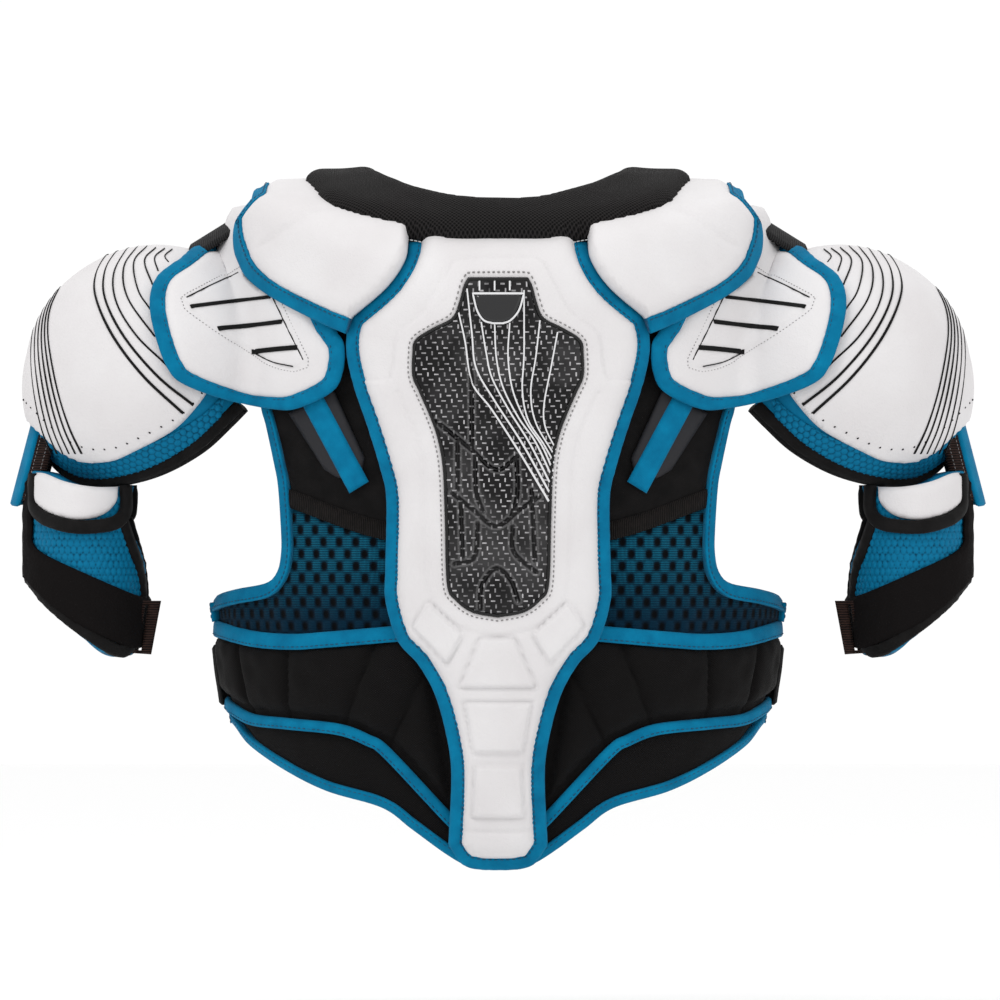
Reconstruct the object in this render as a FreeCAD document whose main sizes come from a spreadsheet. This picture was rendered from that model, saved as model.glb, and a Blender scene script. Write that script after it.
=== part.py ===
import FreeCAD, Part
import math
import os

# Hockey shoulder pads, in millimetres.  +X is the wearer's right, +Y the wearer's front, +Z up.
# The origin is the centre of the neck opening, level with the lower edge of the neck collar's back.
# The padding lies on a torso form made of ellipsoids.  A piece is an outline in the X-Z plane,
# padded through Y and kept where it crosses one layer of the form.  Left is built, right mirrored.

V = FreeCAD.Vector
doc = FreeCAD.newDocument("shoulder_pads")

SIZES = {
    # torso form: a barrel, and an arch that brings it over the shoulders
    "torso_half_width": 177, "torso_half_depth": 112, "torso_half_height": 380, "torso_mid_z": -150,
    "arch_half_width": 900, "arch_half_depth": 114, "arch_half_height": 80, "arch_mid_z": -60,
    # layers, as distances out from the torso form
    "wrap_inside": -9, "liner_inside": -6, "liner_outside": -1, "wrap_outside": -0.6,
    "patch_inside": -0.3, "patch_outside": 1, "strap_inside": 1.3, "strap_outside": 3,
    "wing_inside": 3.6, "wing_outside": 9.5, "bars_outside": 11.5,
    "panel_inside": 0, "panel_outside": 20, "tape_inside": 5, "tape_outside": 18,
    "insert_inside": 20.4, "insert_outside": 23.6, "badge_inside": 23.9, "badge_outside": 25.4,
    "yoke_inside": 10, "yoke_outside": 17, "collar_inside": 8, "collar_outside": 25,
    "belt_inside": 0.3, "belt_outside": 3.3,
    # edges and gaps
    "tape_width": 8.5, "gap": 0.4, "reach": 220, "hinge_y": 12, "hinge_gap": 0.6,
    # neck opening and collar, seen from above
    "collar_half_width": 119, "collar_half_depth": 110, "collar_corner": 65,
    "neck_half_width": 72, "neck_half_depth": 80,
    # shoulder cap: concentric spheres about the shoulder joint
    "cap_x": -207, "cap_z": -82, "cap_radius": 81, "shell_thick": 4, "foam_thick": 8.5,
    "wing_clear": 3, "wing_thick": 5.5,
    # upper arm: an upright barrel
    "arm_x": -250, "arm_z": -195, "arm_half_width": 36, "arm_half_depth": 56,
    "arm_half_height": 300, "pad_thick": 8, "plate_thick": 3.5, "band_thick": 2.5,
}

sheet = doc.addObject("Spreadsheet::Sheet", "Sizes")
for row, (alias, value) in enumerate(SIZES.items(), start=1):
    sheet.set("A%d" % row, alias)
    sheet.set("B%d" % row, str(value))
    sheet.setAlias("B%d" % row, alias)
doc.recompute()

TAPE = SIZES["tape_width"]
GAP = SIZES["gap"]
parts = {}


# ---------------------------------------------------------------- helpers

def bind(obj, **expressions):
    """Tie properties to spreadsheet cells; a bare word in {} is an alias."""
    for prop, text in expressions.items():
        obj.setExpression(prop.replace("__", "."), text.replace("{", "Sizes.").replace("}", ""))
    return obj


def plane(body, role):
    return next(f for f in body.Origin.OriginFeatures if getattr(f, "Role", "") == role)


def add_runs(sketch, runs):
    """Each run is a straight line (two points) or a smooth curve; runs join end to end."""
    for run in runs:
        points = [V(x, y, 0) for x, y in run]
        if len(points) == 2:
            sketch.addGeometry(Part.LineSegment(*points), False)
        else:
            curve = Part.BSplineCurve()
            curve.interpolate(points)
            sketch.addGeometry(curve, False)


def close(*runs):
    """Join runs into a ring, adding the straight lines between their ends."""
    ring = []
    for k, run in enumerate(runs):
        ring.append(run)
        end, start = run[-1], runs[(k + 1) % len(runs)][0]
        if math.dist(end, start) > 1e-6:
            ring.append([end, start])
    return ring


def blank(name, runs, start=0, front=False):
    """An outline in X-Z padded along Y: to the back from y = -start, or to the front from +start."""
    body = doc.addObject("PartDesign::Body", "Blank_" + name)
    sketch = body.newObject("Sketcher::SketchObject", "Outline_" + name)
    sketch.AttachmentSupport = [(plane(body, "XZ_Plane"), "")]
    sketch.MapMode = "FlatFace"
    offset = FreeCAD.Placement(V(0, 0, -start if front else start), FreeCAD.Rotation())
    sketch.AttachmentOffset = offset
    add_runs(sketch, runs)
    pad = body.newObject("PartDesign::Pad", "Pad_" + name)
    pad.Profile = sketch
    pad.Reversed = front
    bind(pad, Length="{reach}")
    body.Tip = pad
    return body


def ellipsoid(name, centre, radii):
    """Ellipsoid with its centre and half-sizes (X, Y, Z) given as sheet expressions."""
    obj = doc.addObject("Part::Ellipsoid", name)
    obj.Angle1, obj.Angle2, obj.Angle3 = -90, 90, 360
    bind(obj, Radius2=radii[0], Radius3=radii[1], Radius1=radii[2])
    return bind(obj, Placement__Base__x=centre[0], Placement__Base__z=centre[1])


def common(name, *objects):
    obj = doc.addObject("Part::MultiCommon", name)
    obj.Shapes = list(objects)
    return obj


def cut(name, base, tool):
    obj = doc.addObject("Part::Cut", name)
    obj.Base, obj.Tool = base, tool
    return obj


def fuse(name, *objects):
    obj = doc.addObject("Part::MultiFuse", name)
    obj.Shapes = list(objects)
    return obj


def keep(name, obj):
    """Register a finished sub-part under its node name."""
    obj.Label = name
    parts[name] = obj
    return obj


def mirrored(name, source):
    obj = doc.addObject("Part::Mirroring", name)
    obj.Source, obj.Normal, obj.Base = source, V(1, 0, 0), V(0, 0, 0)
    return keep(name, obj)


def pair(stem, obj):
    """Keep a left piece and its mirror image."""
    keep(stem + "_left", obj)
    mirrored(stem + "_right", obj)


def inset(run, distance):
    """Shift a run to its left-hand side; with outlines run downwards that is inwards."""
    shifted = []
    for k, (x, z) in enumerate(run):
        ahead, behind = run[min(k + 1, len(run) - 1)], run[max(k - 1, 0)]
        dx, dz = ahead[0] - behind[0], ahead[1] - behind[1]
        length = math.hypot(dx, dz)
        shifted.append((x - dz / length * distance, z + dx / length * distance))
    return shifted


def flip(run):
    """Mirror a run to the other side and reverse it, so it carries on from its own end."""
    return [(-x, z) for x, z in reversed(run)]


def below(run, distance):
    return [(x, z - distance) for x, z in run]


def whole(left_runs):
    """A ring symmetric about the middle from runs that go down the left side."""
    return close(*left_runs, *[flip(run) for run in reversed(left_runs)])


def strip(edge, width=TAPE):
    return close(edge, list(reversed(inset(edge, width))))


# ---------------------------------------------------------------- forms and layers

forms = {}
lower_block = doc.addObject("Part::Box", "Lower_block")
lower_block.Length, lower_block.Width, lower_block.Height = 440, 300, 340
bind(lower_block, Placement__Base__z="{arch_mid_z} - 340")
bind(lower_block, Placement__Base__x="-220", Placement__Base__y="-150")


def torso(layer):
    """The torso form grown by one layer distance."""
    if layer not in forms:
        grow = " + {%s}" % layer
        barrel = ellipsoid("Barrel_" + layer, ("0", "{torso_mid_z}"), [
            "{torso_half_width}" + grow, "{torso_half_depth}" + grow, "{torso_half_height}" + grow])
        arch = ellipsoid("Arch_" + layer, ("0", "{arch_mid_z}"), [
            "{arch_half_width}" + grow, "{arch_half_depth}" + grow, "{arch_half_height}" + grow])
        forms[layer] = common("Torso_" + layer, barrel, fuse("Top_" + layer, arch, lower_block))
    return forms[layer]


def ball(name, grow):
    """Sphere about the left shoulder joint; grow is a sheet expression."""
    if name not in forms:
        obj = doc.addObject("Part::Sphere", "Ball_" + name)
        bind(obj, Radius="{cap_radius}" + grow, Placement__Base__x="{cap_x}",
             Placement__Base__z="{cap_z}")
        forms[name] = obj
    return forms[name]


def arm(name, grow):
    """Barrel about the left upper arm; grow is a sheet expression."""
    if name not in forms:
        forms[name] = ellipsoid("Arm_" + name, ("{arm_x}", "{arm_z}"), [
            "{arm_half_width}" + grow, "{arm_half_depth}" + grow, "{arm_half_height}" + grow])
    return forms[name]


def layer(inner, outer):
    key = inner + "_to_" + outer
    if key not in forms:
        forms[key] = cut("Layer_" + key, torso(outer), torso(inner))
    return forms[key]


def sphere_layer(key, inner, outer):
    if key not in forms:
        forms[key] = cut("Layer_" + key, ball(key + "_out", outer), ball(key + "_in", inner))
    return forms[key]


def arm_layer(key, inner, outer):
    if key not in forms:
        forms[key] = cut("Layer_" + key, arm(key + "_out", outer), arm(key + "_in", inner))
    return forms[key]


def on_torso(name, runs, inner, outer, start=0, front=False, without=None):
    piece = common("On_" + name, blank(name, runs, start, front), layer(inner, outer))
    if without is not None:
        piece = cut("Clear_" + name, piece, without)
    return piece


# ---------------------------------------------------------------- neck collar

def upright_prism(name, half_width, half_depth, corner):
    """Rounded rectangle in X-Y padded upwards through the shoulders."""
    body = doc.addObject("PartDesign::Body", "Prism_" + name)
    sketch = body.newObject("Sketcher::SketchObject", "Plan_" + name)
    sketch.AttachmentSupport = [(plane(body, "XY_Plane"), "")]
    sketch.MapMode = "FlatFace"
    cx, cy = half_width - corner, half_depth - corner
    for sx, sy, first in ((1, 1, 0), (-1, 1, 1), (-1, -1, 2), (1, -1, 3)):
        circle = Part.Circle(V(sx * cx, sy * cy, 0), V(0, 0, 1), corner)
        sketch.addGeometry(Part.ArcOfCircle(circle, first * math.pi / 2, (first + 1) * math.pi / 2))
    if cx > 0:
        for sy in (1, -1):
            sketch.addGeometry(Part.LineSegment(V(-cx, sy * half_depth, 0), V(cx, sy * half_depth, 0)))
    if cy > 0:
        for sx in (1, -1):
            sketch.addGeometry(Part.LineSegment(V(sx * half_width, -cy, 0), V(sx * half_width, cy, 0)))
    pad = body.newObject("PartDesign::Pad", "Pad_" + name)
    pad.Profile = sketch
    pad.Midplane = True
    bind(pad, Length="{reach}")
    body.Tip = pad
    return body


S = SIZES
collar_prism = upright_prism("collar", S["collar_half_width"], S["collar_half_depth"],
                             S["collar_corner"])
collar_clearance = upright_prism("collar_clearance", S["collar_half_width"] + GAP,
                                 S["collar_half_depth"] + GAP, S["collar_corner"] + GAP)
neck_prism = upright_prism("neck", S["neck_half_width"], S["neck_half_depth"],
                           S["neck_half_width"] - 4)
collar_ring = cut("Collar_ring", common("Collar_solid", collar_prism,
                                        layer("collar_inside", "collar_outside")), neck_prism)
BAND = close([(-150, 90), (-150, -45)], [(150, -45), (150, 90)])
HINGE = S["hinge_y"]
keep("neck_collar_back", common("Collar_back", collar_ring, blank("collar_back", BAND, -HINGE)))
keep("neck_collar_front", common("Collar_front", collar_ring,
                                 blank("collar_front", BAND, HINGE + S["hinge_gap"], True)))

# ---------------------------------------------------------------- shoulder yokes

YOKE_EDGE = [(-146, 60), (-146, 42), (-149, 27), (-157, 17), (-161, 8), (-161, -4), (-158, -13),
             (-152, -23), (-136, -35), (-107, -50), (-93, -56.1)]
YOKE_INNER = [(-89.4, -46.4), (-67.9, -29), (-56.6, -12), (-54.6, 2)]
YOKE_CORNER = (-91.8, -46.3)      # where the panel comes down between its own tape and the spine's
yoke_panel = close(inset(YOKE_EDGE, TAPE + GAP)[:-1] + [YOKE_CORNER], YOKE_INNER,
                   [(-54.6, 60), (-54.7, 60)])
pair("yoke_back", on_torso("yoke_back", yoke_panel, "yoke_inside", "yoke_outside", -HINGE,
                           without=collar_clearance))
pair("yoke_binding", on_torso("yoke_tape", strip(YOKE_EDGE), "yoke_inside", "yoke_outside",
                              -HINGE))
YOKE_WHOLE = close(YOKE_EDGE, YOKE_INNER, [(-54.6, 60), (-54.7, 60)])
pair("yoke_front", on_torso("yoke_front", YOKE_WHOLE, "yoke_inside", "yoke_outside",
                            HINGE + S["hinge_gap"], True, collar_clearance))

# ---------------------------------------------------------------- spine panel and its insert

SPINE_TOP = [(-54, 2), (-56, -11), (-67, -28), (-88, -46)]
SPINE_SIDE = [(-88, -46), (-91, -56), (-91, -70), (-86.4, -89.5), (-78.6, -112), (-70.8, -137.5),
              (-67.2, -156), (-67.8, -197), (-67.8, -216), (-60.6, -240), (-48, -254.5),
              (-37.8, -273), (-30.6, -299.5), (-28.2, -322), (-30, -363)]
SPINE_FOOT = [(-30, -363), (-20, -375.5), (0, -378), (20, -375.5), (30, -363)]

top_in, side_in = inset(SPINE_TOP, TAPE), inset(SPINE_SIDE, TAPE)
side_in[0] = top_in[-1] = (-79.5, -48)
foot_in = [side_in[-1], (-14, -369), (0, -370), (14, -369), (-side_in[-1][0], side_in[-1][1])]
spine_outer = close(SPINE_TOP, SPINE_SIDE, SPINE_FOOT, flip(SPINE_SIDE), flip(SPINE_TOP))
spine_inner = close(top_in, side_in, foot_in, flip(side_in), flip(top_in))
top_gap, side_gap = inset(top_in, GAP), inset(side_in, GAP)
side_gap[0] = top_gap[-1]
foot_gap = [side_gap[-1], (-14, -368.5), (0, -369.5), (14, -368.5),
            (-side_gap[-1][0], side_gap[-1][1])]
panel_runs = close(top_gap, side_gap, foot_gap, flip(side_gap), flip(top_gap))
keep("spine_panel", on_torso("spine", panel_runs, "panel_inside", "panel_outside",
                             without=collar_clearance))
spine_frame = cut("Spine_frame", blank("spine_outer", spine_outer), blank("spine_inner", spine_inner))
keep("spine_binding", cut("Spine_binding", common("Spine_tape", spine_frame,
                                                  layer("tape_inside", "tape_outside")),
                          collar_clearance))

INSERT_HALF = [(-17.5, -24.5), (-19.8, -29.5), (-22.2, -38.5), (-26.5, -48), (-38.5, -54.5),
               (-48.5, -61), (-50, -68.5), (-50, -82), (-46.2, -91), (-39.6, -106), (-34.8, -120),
               (-31.8, -137.5), (-30.6, -168), (-29.4, -206), (-24.6, -215), (-15, -222), (0, -225)]
keep("spine_insert", on_torso("insert", close(INSERT_HALF, flip(INSERT_HALF)), "insert_inside",
                              "insert_outside"))
BADGE = [[(-15.6, -33), (-4, -50.5)], [(-4, -50.5), (4, -50.5)], [(4, -50.5), (15.6, -33)],
         [(15.6, -33), (-15.6, -33)]]
keep("insert_badge", on_torso("badge", BADGE, "badge_inside", "badge_outside"))

# ---------------------------------------------------------------- back liner, wrap and tail

ARMHOLE = [(-146, -72), (-142, -100), (-139, -111), (-134, -134), (-131.5, -148), (-129.7, -175),
           (-129.7, -188), (-132, -199), (-139, -206), (-158, -210), (-172, -213), (-186, -214)]
LINER_SPLIT = -165

armhole_in = inset(ARMHOLE, TAPE + GAP)
upper_edge = [p for p in armhole_in if p[1] > LINER_SPLIT] + [(-121.5, LINER_SPLIT)]
lower_edge = [(-121.5, LINER_SPLIT - GAP)] + [p for p in armhole_in if p[1] < LINER_SPLIT - 2]
WRAP_TOP = [(-186, -229), (-149, -235), (-125, -236.5), (-103, -235), (-63, -231.5), (-40, -230)]

upper = whole([[(-137, -12), upper_edge[0]], upper_edge])
lower = whole([lower_edge, [lower_edge[-1], (-186, -228)], below(WRAP_TOP, -GAP)])
keep("back_liner", on_torso("liner", upper, "liner_inside", "liner_outside", 30))
keep("back_mesh", on_torso("mesh", lower, "liner_inside", "liner_outside"))
pair("armhole_binding", on_torso("armhole", strip(ARMHOLE), "liner_inside", "liner_outside"))

WRAP_LOW = [(-186, -272), (-162, -280), (-149.5, -285.5), (-128, -287.5), (-96, -290.5),
            (-77.5, -297), (-65, -305), (-29.5, -342.5), (-20, -352)]
TAIL_LOW = [(-186, -290), (-170, -292), (-158, -298), (-148, -308), (-128, -320), (-102.5, -332),
            (-69.5, -341.5), (-52, -354), (-33, -368), (-20.5, -375.5), (-12, -377)]
TAIL_TAPE = 6.5

wrap_outline = close(WRAP_TOP, [(-40, -230), (-20, -300)], list(reversed(below(WRAP_LOW, TAIL_TAPE))))
pair("body_wrap", on_torso("wrap", wrap_outline, "wrap_inside", "wrap_outside"))
tail_outline = close(below(WRAP_LOW, TAIL_TAPE + GAP),
                     list(reversed(inset(TAIL_LOW, TAIL_TAPE + GAP))))
tail = on_torso("tail", tail_outline, "wrap_inside", "wrap_outside")
pair("tail_panel", tail)
pair("tail_binding", on_torso("tail_tape", strip(TAIL_LOW, TAIL_TAPE), "wrap_inside",
                              "wrap_outside"))

# ---------------------------------------------------------------- anchor straps on the back liner

PATCH = close([(-126, -104), (-100, -88)], [(-80, -131), (-94, -143), (-104, -138)])
STRAP = close([(-118.5, -96), (-106.5, -90)], [(-77, -145), (-88.5, -152)])
pair("anchor_patch", on_torso("patch", PATCH, "patch_inside", "patch_outside"))
pair("anchor_strap", on_torso("anchor", STRAP, "strap_inside", "strap_outside"))

# ---------------------------------------------------------------- shoulder wings

WING_EDGE = [(-176, -1), (-184, -2), (-192, -9.5), (-203.5, -18.5), (-208.5, -28),
             (-209, -41.5), (-205, -59), (-198.5, -76), (-189.5, -86), (-165, -95.5),
             (-136, -101.5), (-120.5, -101), (-99.5, -91), (-93, -78), (-92.5, -63)]
WING_TOP = [(-93, -59.5), (-107.5, -53), (-137, -38), (-154, -25.5), (-161, -14.5), (-164, -6)]
WING_START = 17
wing_form = fuse("Wing_form_out", torso("wing_outside"),
                 ball("wing_out", " + {wing_clear} + {wing_thick}"))
wing_hollow = fuse("Wing_form_in", torso("wing_inside"), ball("wing_in", " + {wing_clear}"))
wing_layer = cut("Wing_layer", wing_form, wing_hollow)
wing_panel = close(inset(WING_EDGE, TAPE + GAP), WING_TOP)
pair("wing_panel", common("Wing_panel", blank("wing", wing_panel, WING_START), wing_layer))
pair("wing_binding", common("Wing_binding", blank("wing_tape", strip(WING_EDGE), WING_START),
                            wing_layer))
bars_form = fuse("Bars_form", torso("bars_outside"),
                 ball("bars_out", " + {wing_clear} + {wing_thick} + 2"))
wing_clear_form = fuse("Bars_hollow", torso("wing_outside"),
                       ball("bars_in", " + {wing_clear} + {wing_thick} + 0.2"))
bars_layer = cut("Bars_layer", bars_form, wing_clear_form)
INSERT = close([(-187, -38), (-160.5, -23.5)], [(-134.5, -41), (-118.5, -76)],
               [(-127, -77), (-146, -67), (-167, -54)])
pair("wing_insert", common("Wing_insert", blank("wing_insert", INSERT, WING_START), bars_layer))

# ---------------------------------------------------------------- shoulder caps

CAP_FOOT = [(-292, -108), (-281, -118), (-272, -128), (-258.5, -134), (-241, -134.5), (-222, -129.5),
            (-194, -114.5), (-176.5, -95.5), (-170, -82)]
LINER_FOOT = [(-292, -112), (-279.5, -122), (-270, -135.5), (-257, -142), (-237.5, -143),
              (-218.5, -138), (-191.5, -123), (-173, -105), (-163, -94)]
TAPE_FOOT = [(-295, -116), (-278, -128), (-270, -141), (-257, -149), (-236, -150.5), (-222, -147),
             (-199, -137.5), (-176.5, -122), (-159, -105), (-152.5, -97)]
CAP_CREST = [(-168, -60), (-170, -35), (-180, -12), (-186, 6)]
shell_layer = sphere_layer("shell", " - {shell_thick}", "")
foam_layer = sphere_layer("foam", " - {shell_thick} - {gap} - {foam_thick}",
                          " - {shell_thick} - {gap}")


def cap_blank(name, foot, crest):
    """Everything above a foot line, as far in as the crest line, both sides of y = 0."""
    return fuse("Cap_blank_" + name,
                blank(name + "_b", close(foot, crest, [(-186, 20), (-300, 20)])),
                blank(name + "_f", close(foot, crest, [(-186, 20), (-300, 20)]), 0, True))


pair("cap_shell", common("Cap_shell", cap_blank("shell", CAP_FOOT, CAP_CREST), shell_layer))
pair("cap_liner", common("Cap_liner", cap_blank("foam", LINER_FOOT, [(-160, -80)] + CAP_CREST),
                         foam_layer))
cap_tape = close(below(LINER_FOOT, GAP), list(reversed(TAPE_FOOT)))
pair("cap_binding", common("Cap_binding", fuse("Cap_tape", blank("cap_tape_b", cap_tape),
                                               blank("cap_tape_f", cap_tape, 0, True)),
                           sphere_layer("hem", " - {shell_thick} - {foam_thick} - 1",
                                        " - {shell_thick} + 1")))

# Strap that carries the cap from under the edge of the yoke, and the adjuster down its side.
link = doc.addObject("Part::Box", "Link_box")
link.Length, link.Width, link.Height = 42, 28, 3.2
link.Placement = FreeCAD.Placement(V(-199, -14, -0.8), FreeCAD.Rotation(V(0, 1, 0), -16))
pair("cap_strap", cut("Cap_strap", cut("Strap_over_cap", link, ball("link_clear", " + 0.8")),
                      blank("link_end", [[(-160.5, 60), (-160.5, -20)], [(-160.5, -20), (0, -20)],
                                         [(0, -20), (0, 60)], [(0, 60), (-160.5, 60)]], -30)))
ADJUSTER = close([(-300, -108), (-270, -108)], [(-270, -140), (-300, -140)])
tab_blank = common("Tab_blank", fuse("Tab_both", blank("tab_b", ADJUSTER),
                                     blank("tab_f", ADJUSTER, 0, True)),
                   sphere_layer("tab", " + {gap}", " + 4.5"))
tab_box = doc.addObject("Part::Box", "Tab_box")
tab_box.Length, tab_box.Width, tab_box.Height = 60, 36, 60
tab_box.Placement.Base = V(-310, -18, -146)
pair("cap_adjuster", common("Cap_adjuster", tab_blank, tab_box))

# ---------------------------------------------------------------- biceps guards

GUARD_TOP = [(-300, -152), (-276, -151), (-262, -156), (-242, -157.5), (-226, -155), (-221, -154)]
PAD_EDGE = [(-221, -154), (-222.5, -168.5), (-218.5, -182), (-214, -197), (-213, -216)]
PAD_LOW = [(-300, -214), (-283, -222), (-262, -236), (-240, -250), (-222, -255.5), (-213, -254)]
PLATE_LOW = [(-300, -156), (-276, -159.5), (-269, -164.5), (-257.5, -168), (-245.5, -167.5),
             (-236, -163.5), (-230.5, -157)]
BAND_TOP = [(-300, -180), (-279, -187.5), (-248, -201), (-214, -214.5)]
BAND_LOW = [(-300, -204), (-280, -216), (-248, -240.5), (-238.5, -248), (-227, -251.5),
            (-214, -249)]


def guard(name, runs, inner, outer):
    both = fuse("Guard_" + name, blank(name + "_b", runs), blank(name + "_f", runs, 0, True))
    return common("On_arm_" + name, both, arm_layer(name, inner, outer))


def side(top, low):
    """Ring between a top run and a low run that both go from the outside in."""
    return close(top, list(reversed(low)))


PLATE_TAPE = 7
OVER_PAD = " + {gap}"
PAD = close(GUARD_TOP, PAD_EDGE, list(reversed(PAD_LOW)))
pair("biceps_pad", guard("pad", PAD, " - {pad_thick}", ""))
pair("biceps_plate", guard("plate", side(GUARD_TOP[:-1], PLATE_LOW), OVER_PAD,
                           OVER_PAD + " + {plate_thick}"))
pair("biceps_binding", guard("plate_tape", side(below(PLATE_LOW, GAP), below(PLATE_LOW, PLATE_TAPE)),
                             OVER_PAD, OVER_PAD + " + {plate_thick}"))
pair("biceps_strap", guard("band", side(BAND_TOP, BAND_LOW), OVER_PAD, OVER_PAD + " + {band_thick}"))

loop = doc.addObject("Part::Box", "Loop_box")
loop.Length, loop.Width, loop.Height = 9, 4.5, 33
loop.Placement.Base = V(-213.5, -24, -250)
slot = doc.addObject("Part::Box", "Loop_slot")
slot.Length, slot.Width, slot.Height = 5, 1.8, 40
slot.Placement.Base = V(-211.5, -22.6, -254)
pair("webbing_loop", cut("Webbing_loop", loop, slot))

# ---------------------------------------------------------------- front of the pads

FRONT = HINGE + S["hinge_gap"]
CHEST_EDGE = [(-96, -66), (-118, -78), (-124, -100), (-119, -130), (-112, -160), (-98, -190),
              (-70, -205), (-40, -212), (-8, -214)]
STERNUM = close([(-34, -28), (-44, -60), (-36, -110), (-26, -150), (0, -168)],
                [(0, -168), (26, -150), (36, -110), (44, -60), (34, -28)])
CHEST_LINER = whole([[(-137, -12), armhole_in[0]], armhole_in[:7] + [(-122, -205), (-124, -215.4)]])
BELLY = whole([[(-186, -216), (-186, -282)], [(-186, -282), (-150, -290), (-100, -296), (-50, -300),
                                              (0, -301)]])
BELT = close([(-200, -244), (-140, -243), (-100, -246), (-62, -250)], [(-60, -252), (-60, -276)],
             [(-62, -279), (-100, -282), (-140, -282), (-200, -279)])
chest = close([(-8, -40), (-60, -56), (-96, -66)], CHEST_EDGE)
keep("chest_liner", on_torso("chest_liner", CHEST_LINER, "liner_inside", "liner_outside", 30, True))
pair("chest_panel", on_torso("chest", chest, "panel_inside", "tape_outside", FRONT, True))
keep("sternum_plate", on_torso("sternum", STERNUM, "insert_inside", "insert_outside", FRONT, True))
keep("belly_pad", on_torso("belly", BELLY, "wrap_inside", "wrap_outside", FRONT, True))
pair("belly_strap", on_torso("belt", BELT, "belt_inside", "belt_outside", 2, True))

# ---------------------------------------------------------------- check and write

doc.recompute()
bad = [o.Name for o in doc.Objects if {"Invalid", "Error"} & set(o.State)]
if bad:
    raise RuntimeError("not computed: " + ", ".join(bad))
os.makedirs("parts", exist_ok=True)
for name, obj in parts.items():
    if obj.Shape.isNull() or not obj.Shape.isValid():
        raise RuntimeError("bad shape: " + name)
    print("%-22s %d solid(s) %9.0f mm3" % (name, len(obj.Shape.Solids), obj.Shape.Volume))
    obj.Shape.exportStep("parts/" + name + ".step")
print(len(parts), "parts")
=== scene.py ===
import math

import bmesh
import bpy
import numpy as np
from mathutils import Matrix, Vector
from mathutils.geometry import delaunay_2d_cdt


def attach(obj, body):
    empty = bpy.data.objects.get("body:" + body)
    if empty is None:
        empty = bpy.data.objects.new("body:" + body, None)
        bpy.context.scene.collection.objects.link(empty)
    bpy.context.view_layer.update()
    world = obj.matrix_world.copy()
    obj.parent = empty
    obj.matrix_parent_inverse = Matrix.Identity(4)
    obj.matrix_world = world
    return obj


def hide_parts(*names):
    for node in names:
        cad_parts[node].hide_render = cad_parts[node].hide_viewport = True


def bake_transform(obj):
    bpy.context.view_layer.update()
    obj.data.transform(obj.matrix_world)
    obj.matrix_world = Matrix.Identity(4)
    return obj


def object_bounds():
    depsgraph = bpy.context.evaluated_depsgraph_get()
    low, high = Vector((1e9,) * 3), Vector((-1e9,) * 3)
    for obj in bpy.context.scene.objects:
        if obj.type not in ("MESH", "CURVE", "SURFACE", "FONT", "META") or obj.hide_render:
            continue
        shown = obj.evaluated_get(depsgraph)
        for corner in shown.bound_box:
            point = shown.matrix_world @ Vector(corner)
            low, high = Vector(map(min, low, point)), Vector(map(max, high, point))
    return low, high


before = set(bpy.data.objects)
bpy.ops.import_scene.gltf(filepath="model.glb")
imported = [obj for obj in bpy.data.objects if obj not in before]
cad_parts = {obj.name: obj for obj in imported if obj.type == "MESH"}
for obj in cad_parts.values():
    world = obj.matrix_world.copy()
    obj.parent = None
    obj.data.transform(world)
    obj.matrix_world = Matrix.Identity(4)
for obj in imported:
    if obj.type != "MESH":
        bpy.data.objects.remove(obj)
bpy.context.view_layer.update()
MM = 0.001
CELL_RISE = 1.3         # top of a foam cell, as its material reads it
TAPE = 9.0              # width of the blue edge tape
IN_TAPE = TAPE - 1.7    # its row of stitches lies this far from the edge
YOKE_UP, COLLAR_UP, WING_UP = 17, 8, 3.6     # heights of these pieces' bases over the forms

# Every length below is in millimetres until a mesh is made; the frame is the CAD's.
# Forms repeat the ellipsoids that the CAD solids lie on.


# ================================================================ small maths

def smooth_min(p, q, k):
    h = np.clip(0.5 + 0.5 * (q - p) / k, 0, 1)
    return q * (1 - h) + p * h - k * h * (1 - h)


def smooth_max(p, q, k):
    return -smooth_min(-p, -q, k)


def wobble(x, y, scale, seed=0):
    """Cheap smooth noise from a few sines, about -1..1."""
    rng = np.random.default_rng(seed)
    total = 0
    for _ in range(5):
        angle, phase, f = rng.uniform(0, 6.28), rng.uniform(0, 6.28), rng.uniform(0.6, 1.6)
        total = total + np.sin((x * math.cos(angle) + y * math.sin(angle)) * 6.28 * f / scale + phase)
    return total / 3.2


def curve(points, step=2.0):
    """Smooth line through points, evenly resampled."""
    p = np.array(points, float)
    if len(p) > 2:
        ghost = np.vstack([2 * p[0] - p[1], p, 2 * p[-1] - p[-2]])
        t = np.linspace(0, 1, 24, endpoint=False)[:, None]
        out = []
        for k in range(1, len(p)):
            a, b, c, d = ghost[k - 1:k + 3]
            out.append(0.5 * (2 * b + (c - a) * t + (2 * a - 5 * b + 4 * c - d) * t ** 2
                              + (3 * b - a - 3 * c + d) * t ** 3))
        p = np.vstack(out + [p[-1:]])
    return resample(p, step)


def resample(p, step):
    length = np.r_[0, np.cumsum(np.linalg.norm(np.diff(p, axis=0), axis=1))]
    count = max(int(round(length[-1] / step)), 1) + 1
    at = np.linspace(0, length[-1], count)
    return np.column_stack([np.interp(at, length, p[:, k]) for k in range(p.shape[1])])


def ring(*runs, step=2.0):
    """Closed outline from runs: curves through their points, straight lines between runs."""
    out = []
    for k, run in enumerate(runs):
        dense = curve(run, step)
        out.append(dense)
        gap = np.array([dense[-1], runs[(k + 1) % len(runs)][0]], float)
        if np.linalg.norm(gap[1] - gap[0]) > step:
            out.append(resample(gap, step)[1:-1])
    p = np.vstack(out)
    return p[np.linalg.norm(p - np.roll(p, 1, axis=0), axis=1) > step * 0.3]


def shut(p):
    """An outline with its first point repeated at the end."""
    return np.vstack([p, p[:1]])


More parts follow.
